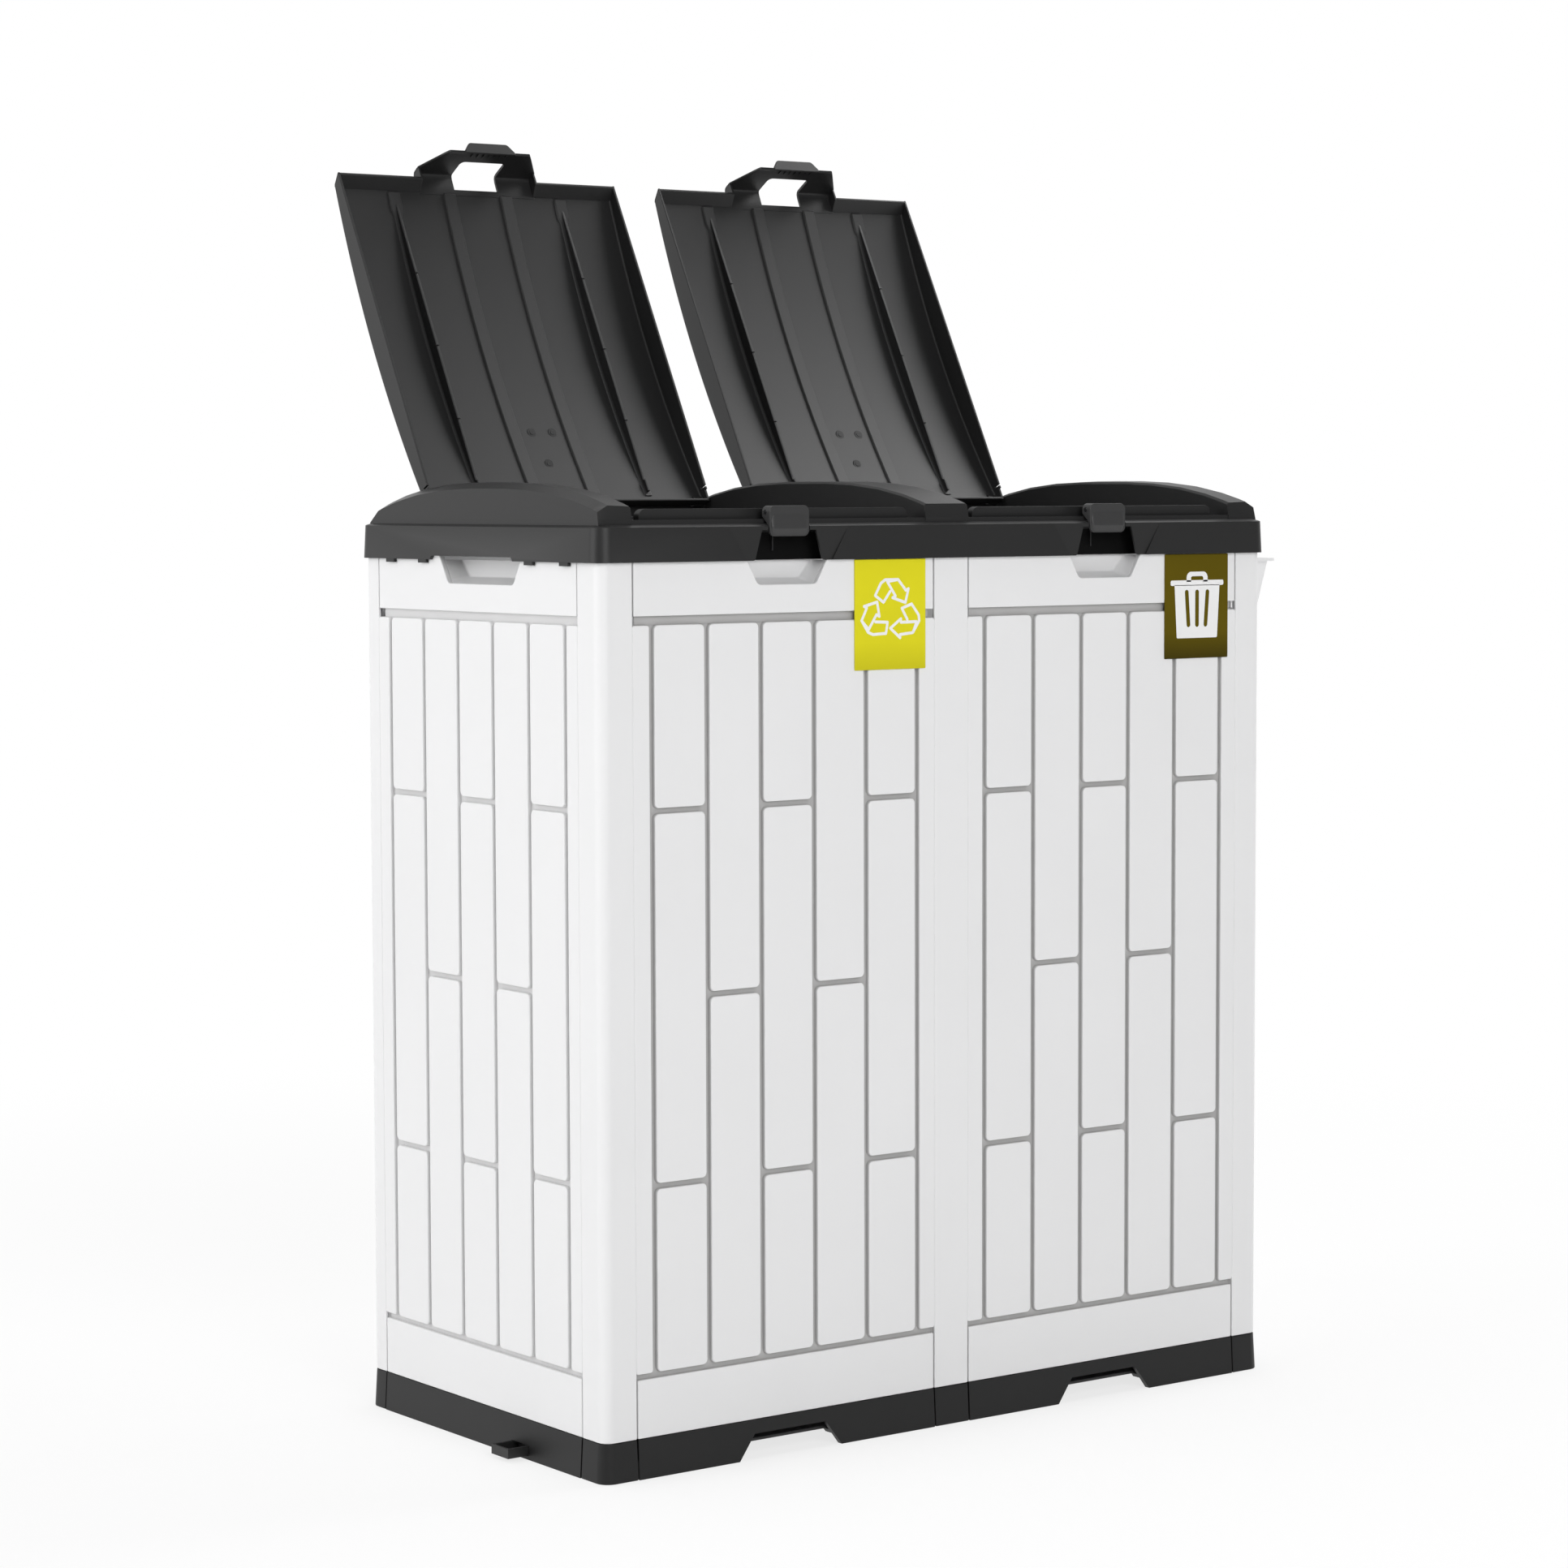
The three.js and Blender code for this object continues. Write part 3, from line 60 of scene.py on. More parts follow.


# ------------------------------------------------------------------ mesh helpers
def link(name, verts, faces, matrix=None):
    mesh = bpy.data.meshes.new(name)
    matrix = matrix or Matrix.Identity(4)
    mesh.from_pydata([(matrix @ Vector(v)) * MM for v in verts], [], faces)
    mesh.validate()
    obj = bpy.data.objects.new(name, mesh)
    bpy.context.scene.collection.objects.link(obj)
    return obj


def fix_normals(obj):
    bm = bmesh.new()
    bm.from_mesh(obj.data)
    bmesh.ops.recalc_face_normals(bm, faces=bm.faces)
    bm.to_mesh(obj.data)
    bm.free()


def finish_mesh(obj, smooth_angle=35):
    """Smooth shading that keeps edges sharper than smooth_angle, with flat faces kept flat."""
    mesh = obj.data
    mesh.shade_smooth()
    mesh.set_sharp_from_angle(angle=math.radians(smooth_angle))
    weighted = obj.modifiers.new("weighted", "WEIGHTED_NORMAL")
    weighted.keep_sharp = True
    return obj


def join(name, objs):
    """One object from several, each already in place."""
    bm = bmesh.new()
    for obj in objs:
        bm.from_mesh(obj.data)
    mesh = bpy.data.meshes.new(name)
    bm.to_mesh(mesh)
    bm.free()
    for obj in objs:
        old = obj.data
        bpy.data.objects.remove(obj)
        bpy.data.meshes.remove(old)
    obj = bpy.data.objects.new(name, mesh)
    bpy.context.scene.collection.objects.link(obj)
    return obj


def bevel_mesh(obj, width, segments=2, angle=30, where=None):
    """Rounds the edges sharper than angle whose ends both lie where asked."""
    bm = bmesh.new()
    bm.from_mesh(obj.data)
    bmesh.ops.recalc_face_normals(bm, faces=bm.faces)
    limit = math.radians(angle)
    edges = [e for e in bm.edges if len(e.link_faces) == 2 and e.calc_face_angle(0) > limit
             and (where is None or all(where(v.co / MM) for v in e.verts))]
    bmesh.ops.bevel(bm, geom=edges, offset=width * MM, segments=segments, profile=0.5, affect="EDGES",
                    clamp_overlap=True)
    bm.to_mesh(obj.data)
    bm.free()
    return obj


def softened(node, name, width, wide=()):
    """A copy of a CAD node with flat faces merged and edges rounded, more so where wide's pairs say."""
    weld, flat = 2e-5, math.radians(0.5)
    bm = bmesh.new()
    bm.from_mesh(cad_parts[node].data)
    bmesh.ops.remove_doubles(bm, verts=bm.verts, dist=weld)
    bmesh.ops.dissolve_limit(bm, angle_limit=flat, verts=bm.verts, edges=bm.edges)
    verts = [v.co.copy() / MM for v in bm.verts]
    bm.verts.index_update()
    faces = [[v.index for v in f.verts] for f in bm.faces]
    bm.free()
    obj = link(name, verts, faces)
    for reach, where in wide:
        bevel_mesh(obj, reach, 4, 20, where)
    return finish_mesh(bevel_mesh(obj, width))


def span(side, near, far):
    """The two values on one side of the middle, the smaller one first."""
    return sorted((side * near, side * far))


def arc(cx, cz, r, start, end, steps=4):
    turns = [math.radians(start + (end - start) * i / steps) for i in range(steps + 1)]
    return [(cx + r * math.cos(t), cz + r * math.sin(t)) for t in turns]


def circle(cx, cz, r, count):
    return arc(cx, cz, r, 0, 360 - 360 / count, count - 1)


def capsule(a, b, width, steps):
    """The outline of a line with round ends."""
    turn = math.degrees(math.atan2(b[1] - a[1], b[0] - a[0]))
    return (arc(*a, width / 2, turn + 90, turn + 270, steps)
            + arc(*b, width / 2, turn - 90, turn + 90, steps))


def rounded_rect(x0, x1, z0, z1, r, steps=5):
    r = max(0.01, min(r, (x1 - x0) / 2 - 0.01, (z1 - z0) / 2 - 0.01))
    centres = ((x1 - r, z1 - r), (x0 + r, z1 - r), (x0 + r, z0 + r), (x1 - r, z0 + r))
    return [p for k, (cx, cz) in enumerate(centres) for p in arc(cx, cz, r, 90 * k, 90 * k + 90, steps)]


def stack(name, loops, matrix=None):
    """A skin through loops of equal counts, with flat ends."""
    count = len(loops[0])
    verts = [p for loop in loops for p in loop]
    faces = []
    for s in range(len(loops) - 1):
        for i in range(count):
            j = (i + 1) % count
            faces.append((s * count + i, s * count + j, (s + 1) * count + j, (s + 1) * count + i))
    faces.append(tuple(range(count))[::-1])
    faces.append(tuple((len(loops) - 1) * count + i for i in range(count)))
    obj = link(name, verts, faces, matrix)
    fix_normals(obj)
    return obj


def prism(name, points, axis, a, b, matrix=None, bevel=0.0, segments=2):
    """A closed outline pushed along an axis. Its edges are rounded by bevel."""
    put = {
        "x": lambda p, t: (t, p[0], p[1]),
        "y": lambda p, t: (p[0], t, p[1]),
        "z": lambda p, t: (p[0], p[1], t),
    }[axis]
    obj = stack(name, [[put(p, a) for p in points], [put(p, b) for p in points]], matrix)
    if bevel:
        bevel_mesh(obj, bevel, segments)
    return obj


def block(name, x0, x1, y0, y1, z0, z1, bevel=0.0, matrix=None, segments=2):
    return prism(name, [(x0, y0), (x1, y0), (x1, y1), (x0, y1)], "z", z0, z1, matrix, bevel, segments)


def carve(obj, cutter):
    """Cuts one closed mesh out of another and drops the cutter."""
    cut = obj.modifiers.new("cut", "BOOLEAN")
    cut.object, cut.operation, cut.solver = cutter, "DIFFERENCE", "EXACT"
    graph = bpy.context.evaluated_depsgraph_get()
    mesh = bpy.data.meshes.new_from_object(obj.evaluated_get(graph))
    obj.modifiers.clear()
    used = (obj.data, cutter.data)
    obj.data = mesh
    bpy.data.objects.remove(cutter)
    for old in used:
        bpy.data.meshes.remove(old)
    return obj


# ------------------------------------------------------------------ materials
# The colour sockets of a mix node in RGBA mode.
MIX_FROM, MIX_TO, MIX_RESULT = 6, 7, 2


def new_material(name):
    material = bpy.data.materials.new(name)
    material.use_nodes = True
    tree = material.node_tree
    return material, tree, tree.nodes["Principled BSDF"]


def add(tree, kind, **values):
    """A new node with its settings and inputs by name."""
    node = tree.nodes.new(kind)
    for key, value in values.items():
        if hasattr(node, key):
            setattr(node, key, value)
        else:
            node.inputs[key].default_value = value
    return node


def spread(tree, source, kind="LINEAR", **limits):
    """Maps source onto a range, with limits such as from_min and to_max."""
    node = add(tree, "ShaderNodeMapRange", interpolation_type=kind)
    for key, value in limits.items():
        node.inputs[key.replace("_", " ").title()].default_value = value
    tree.links.new(source, node.inputs["Value"])
    return node.outputs["Result"]


def maths(tree, operation, first, second):
    node = add(tree, "ShaderNodeMath", operation=operation)
    tree.links.new(first, node.inputs[0])
    tree.links.new(second, node.inputs[1])
    return node.outputs["Value"]


def two_tone(tree, dark, light, share):
    """A mix node between two colours."""
    mix = add(tree, "ShaderNodeMix", data_type="RGBA")
    mix.inputs[MIX_FROM].default_value = (*dark, 1)
    mix.inputs[MIX_TO].default_value = (*light, 1)
    tree.links.new(share, mix.inputs[0])
    return mix


def plastic(name, dark, light, rough, grain, bump, specular=0.5, groove_shade_colour=None):
    """Moulded resin: fine spark-eroded grain, faint patches of colour and gloss, and, given a groove colour,
    painted shade in its recesses.
    """
    material, tree, shader = new_material(name)
    coords = add(tree, "ShaderNodeTexCoord")
    patches = add(tree, "ShaderNodeTexNoise", Scale=6.0, Detail=3.0)
    fine = add(tree, "ShaderNodeTexNoise", Scale=grain, Detail=2.0, Roughness=0.6)
    for node in (patches, fine):
        tree.links.new(coords.outputs["Object"], node.inputs["Vector"])
    colour = two_tone(tree, dark, light, patches.outputs["Fac"])
    # Painted shade: the grooves' floors are darkened towards this grey by their depth.
    if groove_shade_colour:
        depth = add(tree, "ShaderNodeAttribute", attribute_name="recess")
        groove_shaded = two_tone(tree, dark, groove_shade_colour, depth.outputs["Fac"])
        tree.links.new(colour.outputs[MIX_RESULT], groove_shaded.inputs[MIX_FROM])
        colour = groove_shaded
    tree.links.new(colour.outputs[MIX_RESULT], shader.inputs["Base Color"])
    shader.inputs["Specular IOR Level"].default_value = specular
    gloss = spread(tree, fine.outputs["Fac"], to_min=rough - 0.04, to_max=rough + 0.05)
    tree.links.new(gloss, shader.inputs["Roughness"])
    relief = add(tree, "ShaderNodeBump", Strength=bump, Distance=0.0002)
    tree.links.new(fine.outputs["Fac"], relief.inputs["Height"])
    tree.links.new(relief.outputs["Normal"], shader.inputs["Normal"])
    return material


def black(name, dark, light, rough=0.42, specular=0.4):
    """The black resin, or a copy of it painted lighter or darker to stand in for light and shade. The grain
    is the same in all of them.
    """
    return plastic(name, dark, light, rough, 1100.0, 0.30, specular)


def metal(name, colour):
    """Drawn rod, with fine lines along it."""
    material, tree, shader = new_material(name)
    coords = add(tree, "ShaderNodeTexCoord")
    stretch = add(tree, "ShaderNodeMapping")
    stretch.inputs["Scale"].default_value = (2.0, 220.0, 220.0)
    lines = add(tree, "ShaderNodeTexNoise", Scale=9.0, Detail=3.0)
    tree.links.new(coords.outputs["Object"], stretch.inputs["Vector"])
    tree.links.new(stretch.outputs["Vector"], lines.inputs["Vector"])
    rough = spread(tree, lines.outputs["Fac"], to_min=0.22, to_max=0.42)
    tree.links.new(rough, shader.inputs["Roughness"])
    shader.inputs["Base Color"].default_value = (*colour, 1)
    shader.inputs["Metallic"].default_value = 1.0
    return material


def card(name, dark, light, specular):
    """A printed plastic tag, painted a little darker towards its lower edge as shade."""
    fade_low, fade_high = 710, 736
    material, tree, shader = new_material(name)
    coords = add(tree, "ShaderNodeTexCoord")
    parts = add(tree, "ShaderNodeSeparateXYZ")
    tree.links.new(coords.outputs["Object"], parts.inputs["Vector"])
    fade = spread(tree, parts.outputs["Z"], from_min=fade_low * MM, from_max=fade_high * MM)
    cloud = add(tree, "ShaderNodeTexNoise", Scale=14.0, Detail=2.0)
    tree.links.new(coords.outputs["Object"], cloud.inputs["Vector"])
    lift = spread(tree, cloud.outputs["Fac"], to_min=0.7, to_max=1.1)
    # Painted shade: the colour darkens over the card's lowest 26 mm.
    colour = two_tone(tree, dark, light, maths(tree, "MULTIPLY", fade, lift))
    tree.links.new(colour.outputs[MIX_RESULT], shader.inputs["Base Color"])
    shader.inputs["Roughness"].default_value = 0.5
    shader.inputs["Specular IOR Level"].default_value = specular
    return material


# The white resin paints shade into the panels' grooves, as a darker grey.
WHITE = plastic("white_resin", (0.80, 0.80, 0.805), (0.83, 0.83, 0.835), 0.38, 900.0, 0.10,
                groove_shade_colour=(0.36, 0.355, 0.35))
# The finishes other than BLACK are there to match the photo's brightness, piece by piece.
BLACK = black("black_resin", (0.0120, 0.0120, 0.0122), (0.0155, 0.0155, 0.0158))
# BASE is painted shade: a darker copy of the black for the feet and base rails.
BASE = black("black_resin_base_painted_shade", (0.0078, 0.0078, 0.0079), (0.0105, 0.0105, 0.0107), 0.45, 0.32)
# SHADED is painted shade for the screens behind the finger openings.
SHADED = black("black_resin_painted_shade", (0.0030, 0.0030, 0.0031), (0.0042, 0.0042, 0.0043), 0.7, 0.08)
# This latch black is painted light: a lighter copy of the black.
LATCH_LIT_BLACK = black("black_resin_latch_painted_light", (0.030, 0.030, 0.0305), (0.038, 0.038, 0.0385), 0.46)
# This strip black is painted light, for the lids' raised strips.
STRIP_LIT_BLACK = black("black_resin_strip_painted_light", (0.019, 0.019, 0.0193), (0.025, 0.025, 0.0253))
STEEL = metal("steel_pin", (0.60, 0.61, 0.62))
# The latch pins' steel is darkened: painted shade, so that their ends show no bright glint.
SHADED_STEEL = metal("steel_pin_painted_shade", (0.10, 0.10, 0.105))
LIME = card("lime_card", (0.58, 0.53, 0.006), (0.74, 0.68, 0.010), 0.22)
OLIVE = card("olive_card", (0.048, 0.036, 0.001), (0.115, 0.084, 0.002), 0.08)
PRINT = plastic("white_print", (0.84, 0.84, 0.84), (0.88, 0.88, 0.88), 0.5, 700.0, 0.02)


def dress(obj, material, body="cabinet", nodes=()):
    """Gives a piece its material, and says its body and the nodes it replaces."""
    obj.data.materials.append(material)
    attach(obj, body)
    if nodes:
        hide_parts(*nodes)
    return obj


# ------------------------------------------------------------------ plank panels
def pillow(name, x0, x1, z0, z1, radius, matrix):
    """A plank: flat on top, rolling over softly at its edges into the groove."""
    # Each pair is a depth behind the face and how far the outline is drawn in there.
    profile = [(GROOVE + 0.3, -0.2), (GROOVE - 0.6, -0.15), (1.3, 0.0), (0.75, 0.12), (0.35, 0.4), (0.1, 0.8),
               (0.0, 1.5)]
    loops = []
    for depth, inset in profile:
        ring = rounded_rect(x0 + inset, x1 - inset, z0 + inset, z1 - inset, radius - inset * 0.7, 4)
        loops.append([(x, depth, z) for x, z in ring])
    return stack(name, loops, matrix)


def scoop(bottom, top, bottom_width, top_width, radius, x):
    """The open outline of a hand hold, from its upper left corner round to its upper right."""
    lean = math.atan2((top_width - bottom_width) / 2, top - bottom)
    tangent = radius * math.tan((math.pi / 2 - lean) / 2)
    half, steps = bottom_width / 2, 6

    def curve(p0, p1, p2):
        return [tuple((1 - t) ** 2 * p0[k] + 2 * t * (1 - t) * p1[k] + t * t * p2[k] for k in (0, 1))
                for t in (i / steps for i in range(steps + 1))]

    left = curve((x - half - tangent * math.sin(lean), bottom + tangent * math.cos(lean)), (x - half, bottom),
                 (x - half + tangent, bottom))
    right = curve((x + half - tangent, bottom), (x + half, bottom),
                  (x + half + tangent * math.sin(lean), bottom + tangent * math.cos(lean)))
    return [(x - top_width / 2, top)] + left + right + [(x + top_width / 2, top)]


def hand_hold(name, x, bottom, top, matrix):
    """The cup behind the hold: inner and outer skins, joined round the mouth."""
    low = BODY_TOP - HOLD_RISE

    def at(outline, depth):
        return [(px, depth, pz) for px, pz in outline]

    inner = [
        at(scoop(low, BODY_TOP, bottom, top, 7, x), DEPTH - 0.3),
        at(scoop(low + 0.6, BODY_TOP, bottom - 1.5, top, 7, x), DEPTH + 1.5),
        at(scoop(low + 4.6, BODY_TOP, bottom - 9, top - 2, 7, x), 20.5),
        at(scoop(low + 6.4, BODY_TOP, bottom - 13, top - 4, 7, x), 22),
    ]
    outer = [
        at(scoop(low - 2, BODY_TOP, bottom + 4, top + 4, 8, x), DEPTH - 0.3),
        at(scoop(low - 2, BODY_TOP, bottom + 4, top + 4, 8, x), 24),
    ]
    verts, faces = [], []
    count = len(inner[0])
    for loop in inner + outer:
        verts += loop
    for first, last in ((0, 3), (4, 5)):
        for s in range(first, last):
            for i in range(count - 1):
                faces.append((s * count + i, s * count + i + 1, (s + 1) * count + i + 1, (s + 1) * count + i))
    faces.append(tuple(3 * count + i for i in range(count)))
    faces.append(tuple(5 * count + i for i in range(count)))
    for i in range(count - 1):
        faces.append((i, i + 1, 4 * count + i + 1, 4 * count + i))
    cup = link(name, verts, faces, matrix)
    fix_normals(cup)
    return cup


def top_rail(name, hold, matrix):
    """The rail above the planks. Its face has a soft lower lip and the mouth of the hold."""
    outline = [(-EDGE, FIELD_TOP), (EDGE, FIELD_TOP), (EDGE, WALL_H)]
    if hold:
        x, bottom, top = hold
        floor = BODY_TOP - HOLD_RISE
        grow = (top - bottom) / 2 / HOLD_RISE
        wide = bottom + 2 * grow * (WALL_H - floor)
        outline += scoop(floor, WALL_H, bottom, wide, 7, x)[::-1]
    outline.append((-EDGE, WALL_H))
    return prism(name, outline, "y", 0, DEPTH, matrix, 1.1, 3)


def mark_groove_shade(obj, matrix, share):
    """Stores how deep each point lies in the grooves, times share, as the strength of the painted shade
    there.
    """
    local = matrix.inverted()
    values = []
    for vert in obj.data.vertices:
        _, depth, z = local @ (vert.co / MM)
        grooved = SHADE_START < depth < DEPTH - 0.1 and z < FIELD_TOP + 1.5
        values.append(share * min(1.0, (depth - SHADE_START) / SHADE_SPAN) if grooved else 0.0)
    obj.data.attributes.new("recess", "FLOAT", "POINT").data.foreach_set("value", values)


def plank_panel(node, hold, matrix, nodes, groove_shade_share):
    """A sheet with its tongues, foot rail, top rail and planks, and the cup of its hand hold."""
    band = EDGE - 3.2
    parts = [
        block(node + "_sheet", -EDGE, EDGE, GROOVE, DEPTH, 1, HIGH + 0.2, matrix=matrix),
        block(node + "_band", -band, band, GROOVE, DEPTH, HIGH, FIELD_TOP + 1, matrix=matrix),
    ]
    for side in (-1, 1):
        parts.append(block(f"{node}_tongue_{side}", *span(side, EDGE - 0.1, PANEL / 2 + TONGUE_REACH),
                           TONGUE_FACE, DEPTH, 0.2, HIGH, matrix=matrix))
    parts.append(block(node + "_foot", -EDGE, EDGE, 0, DEPTH, 0, RAIL_TOP, 1.2, matrix, 3))
    parts.append(top_rail(node + "_head", hold, matrix))
    quarter = (FIELD_TOP - GAP - LOW) / 4
    for column in range(COLUMNS):
        centre = (column - COLUMNS // 2) * PITCH
        x0, x1 = centre - (PITCH - GAP) / 2, centre + (PITCH - GAP) / 2
        cuts = [LOW + k * quarter for k in ((1, 3) if column % 2 == 0 else (2,))]
        ends = [LOW - GAP / 2] + cuts + [HIGH + GAP / 2]
        for k, (z0, z1) in enumerate(zip(ends, ends[1:])):
            parts.append(pillow(f"{node}_plank_{column}_{k}", x0, x1, z0 + GAP / 2, z1 - GAP / 2, CORNER,
                                matrix))
    last = (COLUMNS * PITCH + GAP) / 2
    for side in (-1, 1):
        parts.append(pillow(f"{node}_edge_{side}", *span(side, last, EDGE + 1.6), LOW, HIGH, 2.5, matrix))
    if hold:
        parts.append(hand_hold(node + "_cup", *hold, matrix))
    obj = join(node + "_moulding", parts)
    mark_groove_shade(obj, matrix, groove_shade_share)
    return dress(finish_mesh(obj, 40), WHITE, nodes=nodes)


for side, name in ((-1, "left"), (1, "right")):
    places = {
        "front": Matrix.Translation((side * BAY_X, -HALF_D + INSET, WALL_BOTTOM)),
        "back": Matrix.Translation((side * BAY_X, HALF_D - INSET, WALL_BOTTOM))
        @ Matrix.Rotation(math.pi, 4, "Z"),
        "side": Matrix.Translation((side * (HALF_W - INSET), SIDE_Y, WALL_BOTTOM))
        @ Matrix.Rotation(side * math.pi / 2, 4, "Z"),
    }
    # Each hold is its middle and its widths at the bottom and the top. The last value is how strong the
    # grooves' painted shade is.
    for face, hold, groove_shade_share in (("front", (0, 65, 88), 0.8), ("back", None, 0.55),
                             ("side", (-side * 10, 110, 134), 0.3)):
        nodes = [f"{face}_panel_{name}"] + ([f"front_rail_{name}"] if face == "front" else [])
        plank_panel(nodes[0], hold, places[face], nodes, groove_shade_share)


# ------------------------------------------------------------------ posts
ARM, BACK_ARM, CENTRE_ARM = 37.5, 28.5, 20.5
POST_RADIUS, SKIN = 11.0, 3.0
BEHIND = INSET + SKIN  # the back of a post's skin
SLOT_DEPTH, FIN = 10.35, 2.2  # of the slots that take the panels' tongues


def corner_post(side_x, side_y, node):
    """Two arms round a bend, with the fins that hold the panels' tongues."""
    arm_y = ARM if side_y < 0 else BACK_ARM
    reach_x, reach_y = ARM - SEAM / 2, arm_y - SEAM / 2
    bend = INSET + POST_RADIUS
    outline = [(reach_x, INSET), (reach_x, BEHIND)] + arc(bend, bend, POST_RADIUS - SKIN, 270, 180, 6)
    outline += [(BEHIND, reach_y), (INSET, reach_y)] + arc(bend, bend, POST_RADIUS, 180, 270, 10)
    flip = Matrix.Diagonal((-side_x, -side_y, 1, 1))
    matrix = Matrix.Translation((side_x * HALF_W, side_y * HALF_D, WALL_BOTTOM)) @ flip
    parts = [prism(node + "_skin", outline, "z", 0, WALL_H, matrix, 0.9, 3)]
    web_x, web_y = ARM - SLOT_DEPTH, arm_y - SLOT_DEPTH
    fin, web = (BEHIND + 2.7, BEHIND + 4.9), (BEHIND - 0.5, BEHIND + 4)
    sections = (((web_x - FIN, reach_x - 2), fin), (fin, (web_y - FIN, reach_y - 2)),
                ((web_x - FIN, web_x), web), (web, (web_y - FIN, web_y)))
    for k, (xs, ys) in enumerate(sections):
        parts.append(block(f"{node}_fin_{k}", *xs, *ys, 0, WALL_H, matrix=matrix))
    obj = join(node + "_moulding", parts)
    fix_normals(obj)
    return dress(finish_mesh(obj, 40), WHITE, nodes=[node])


def centre_post(side_y, node):
    """A flat strip between two panels, with a slot on each side and two fins in its middle."""
    reach = CENTRE_ARM - SEAM / 2
    matrix = Matrix.Translation((0, side_y * HALF_D, WALL_BOTTOM)) @ Matrix.Diagonal((1, -side_y, 1, 1))
    parts = [block(node + "_skin", -reach, reach, INSET, BEHIND, 0, WALL_H, 0.9, matrix, 3)]
    sections = ((7.95, 17.8, 7.7, 9.9), (7.95, 10.15, 4.5, 9), (1.85, 4.05, 4.5, 17))
    for side in (-1, 1):
        for k, (near, far, y0, y1) in enumerate(sections):
            parts.append(block(f"{node}_fin_{side}_{k}", *span(side, near, far), y0, y1, 0, WALL_H,
                               matrix=matrix))
    obj = join(node + "_moulding", parts)
    fix_normals(obj)
    return dress(finish_mesh(obj, 40), WHITE, nodes=[node])


for side_x, x_name in ((-1, "left"), (1, "right")):
    for side_y, y_name in ((-1, "front"), (1, "back")):
        corner_post(side_x, side_y, f"corner_post_{y_name}_{x_name}")
centre_post(-1, "centre_post_front")
centre_post(1, "centre_post_back")


# ------------------------------------------------------------------ pieces softened from the CAD
def rounded_copy(node, kind, width, material, body="cabinet"):
    """A piece that is its CAD node with rounded edges."""
    return dress(softened(node, f"{node}_{kind}", width), material, body, [node])


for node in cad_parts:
    if node.startswith(("corner_foot", "base_rail", "centre_foot")):
        # Feet and base rails take the darker black: painted shade.
        rounded_copy(node, "moulding", 0.9, BASE)
    if node.startswith(("base_centre_beam", "anchor_bracket", "floor_panel")):
        rounded_copy(node, "moulding", 0.6, BLACK)
rounded_copy("divider", "sheet", 0.5, WHITE)
rounded_copy("side_caddy", "moulding", 0.7, WHITE, "side_caddy")


def top_frame():
    """The frame, with a thin rib on the screen behind each finger opening and painted shade in there, a matt
    near-black.
    """
    arch_low, arch_back, skirt_y = 857, 100, -185
    rib_x, rib_half, rib_y, rib_z = -5.0, 0.7, (-183.4, -180.6), (820.5, 836.0)
    screen_y, screen_z, screen_half, screen_area = (-199, -176), (SKIRT_BOTTOM, 836), 45, 3e-4
    arches = (2.4, lambda p: p.z > arch_low and p.y < arch_back)
    corners = (3.5, lambda p: p.z < SKIRT_BOTTOM + 1 and p.y < skirt_y
               and abs(abs(abs(p.x) - BAY_X) - CUTOUT_HALF) < 1.5)
    parts = [softened("top_frame", "top_frame_shell", 0.7, wide=(arches, corners))]
    for side in (-1, 1):
        x = side * BAY_X + rib_x
        parts.append(block(f"top_frame_rib_{side}", x - rib_half, x + rib_half, *rib_y, *rib_z, 0.3))
    obj = dress(finish_mesh(join("top_frame_moulding", parts)), BLACK, nodes=["top_frame"])
    # The screens' faces take a near-black: painted shade.
    obj.data.materials.append(SHADED)
    for face in obj.data.polygons:
        x, y, z = face.center / MM
        inside = screen_y[0] < y < screen_y[1] and screen_z[0] < z < screen_z[1]
        if inside and abs(abs(x) - BAY_X) < screen_half and face.area > screen_area:
            face.material_index = 1


top_frame()
for name in ("left", "right"):
    rounded_copy(f"bag_ring_{name}", "moulding", 1.2, BLACK, f"bag_ring_{name}")
    for end in ("left", "right"):
        rounded_copy(f"lid_{name}_pin_{end}", "rod", 0.4, STEEL)
    # The latch pin takes the darkened steel: painted shade.
    rounded_copy(f"latch_{name}_pin", "rod", 0.3, SHADED_STEEL)


# ------------------------------------------------------------------ lids, drawn closed about their hinge
HINGE_Y, HINGE_Z, OPEN_ANGLE = 159.0, 863.3, 117.7
LID_HALF, LID_REACH, LID_CROWN, LID_WALL = 161.5, 345.4, 12.8, 2.5
LID_LOW, LID_BACK, BACK_LOW, LIP_Y, LIP_LEAN = -13.0, 4.5, -11.3, -354.0, 8.6
TONGUE_HALF, TIP_HALF, TONGUE_TIP = 68.0, 46.0, -43.5
RIB_AT, BAND_AT, BOSS_AT = 97, 33, 148  # across the lid, on both sides of its middle
DIALS = ((-12, -80), (12, -80), (-5, -44))
CROWN_RADIUS = (LID_REACH ** 2 / 4 + LID_CROWN ** 2) / (2 * LID_CROWN)


def crown(y):
    """The height of the lid's top over its hinge."""
    return math.sqrt(CROWN_RADIUS ** 2 - (y + LID_REACH / 2) ** 2) - (CROWN_RADIUS - LID_CROWN)


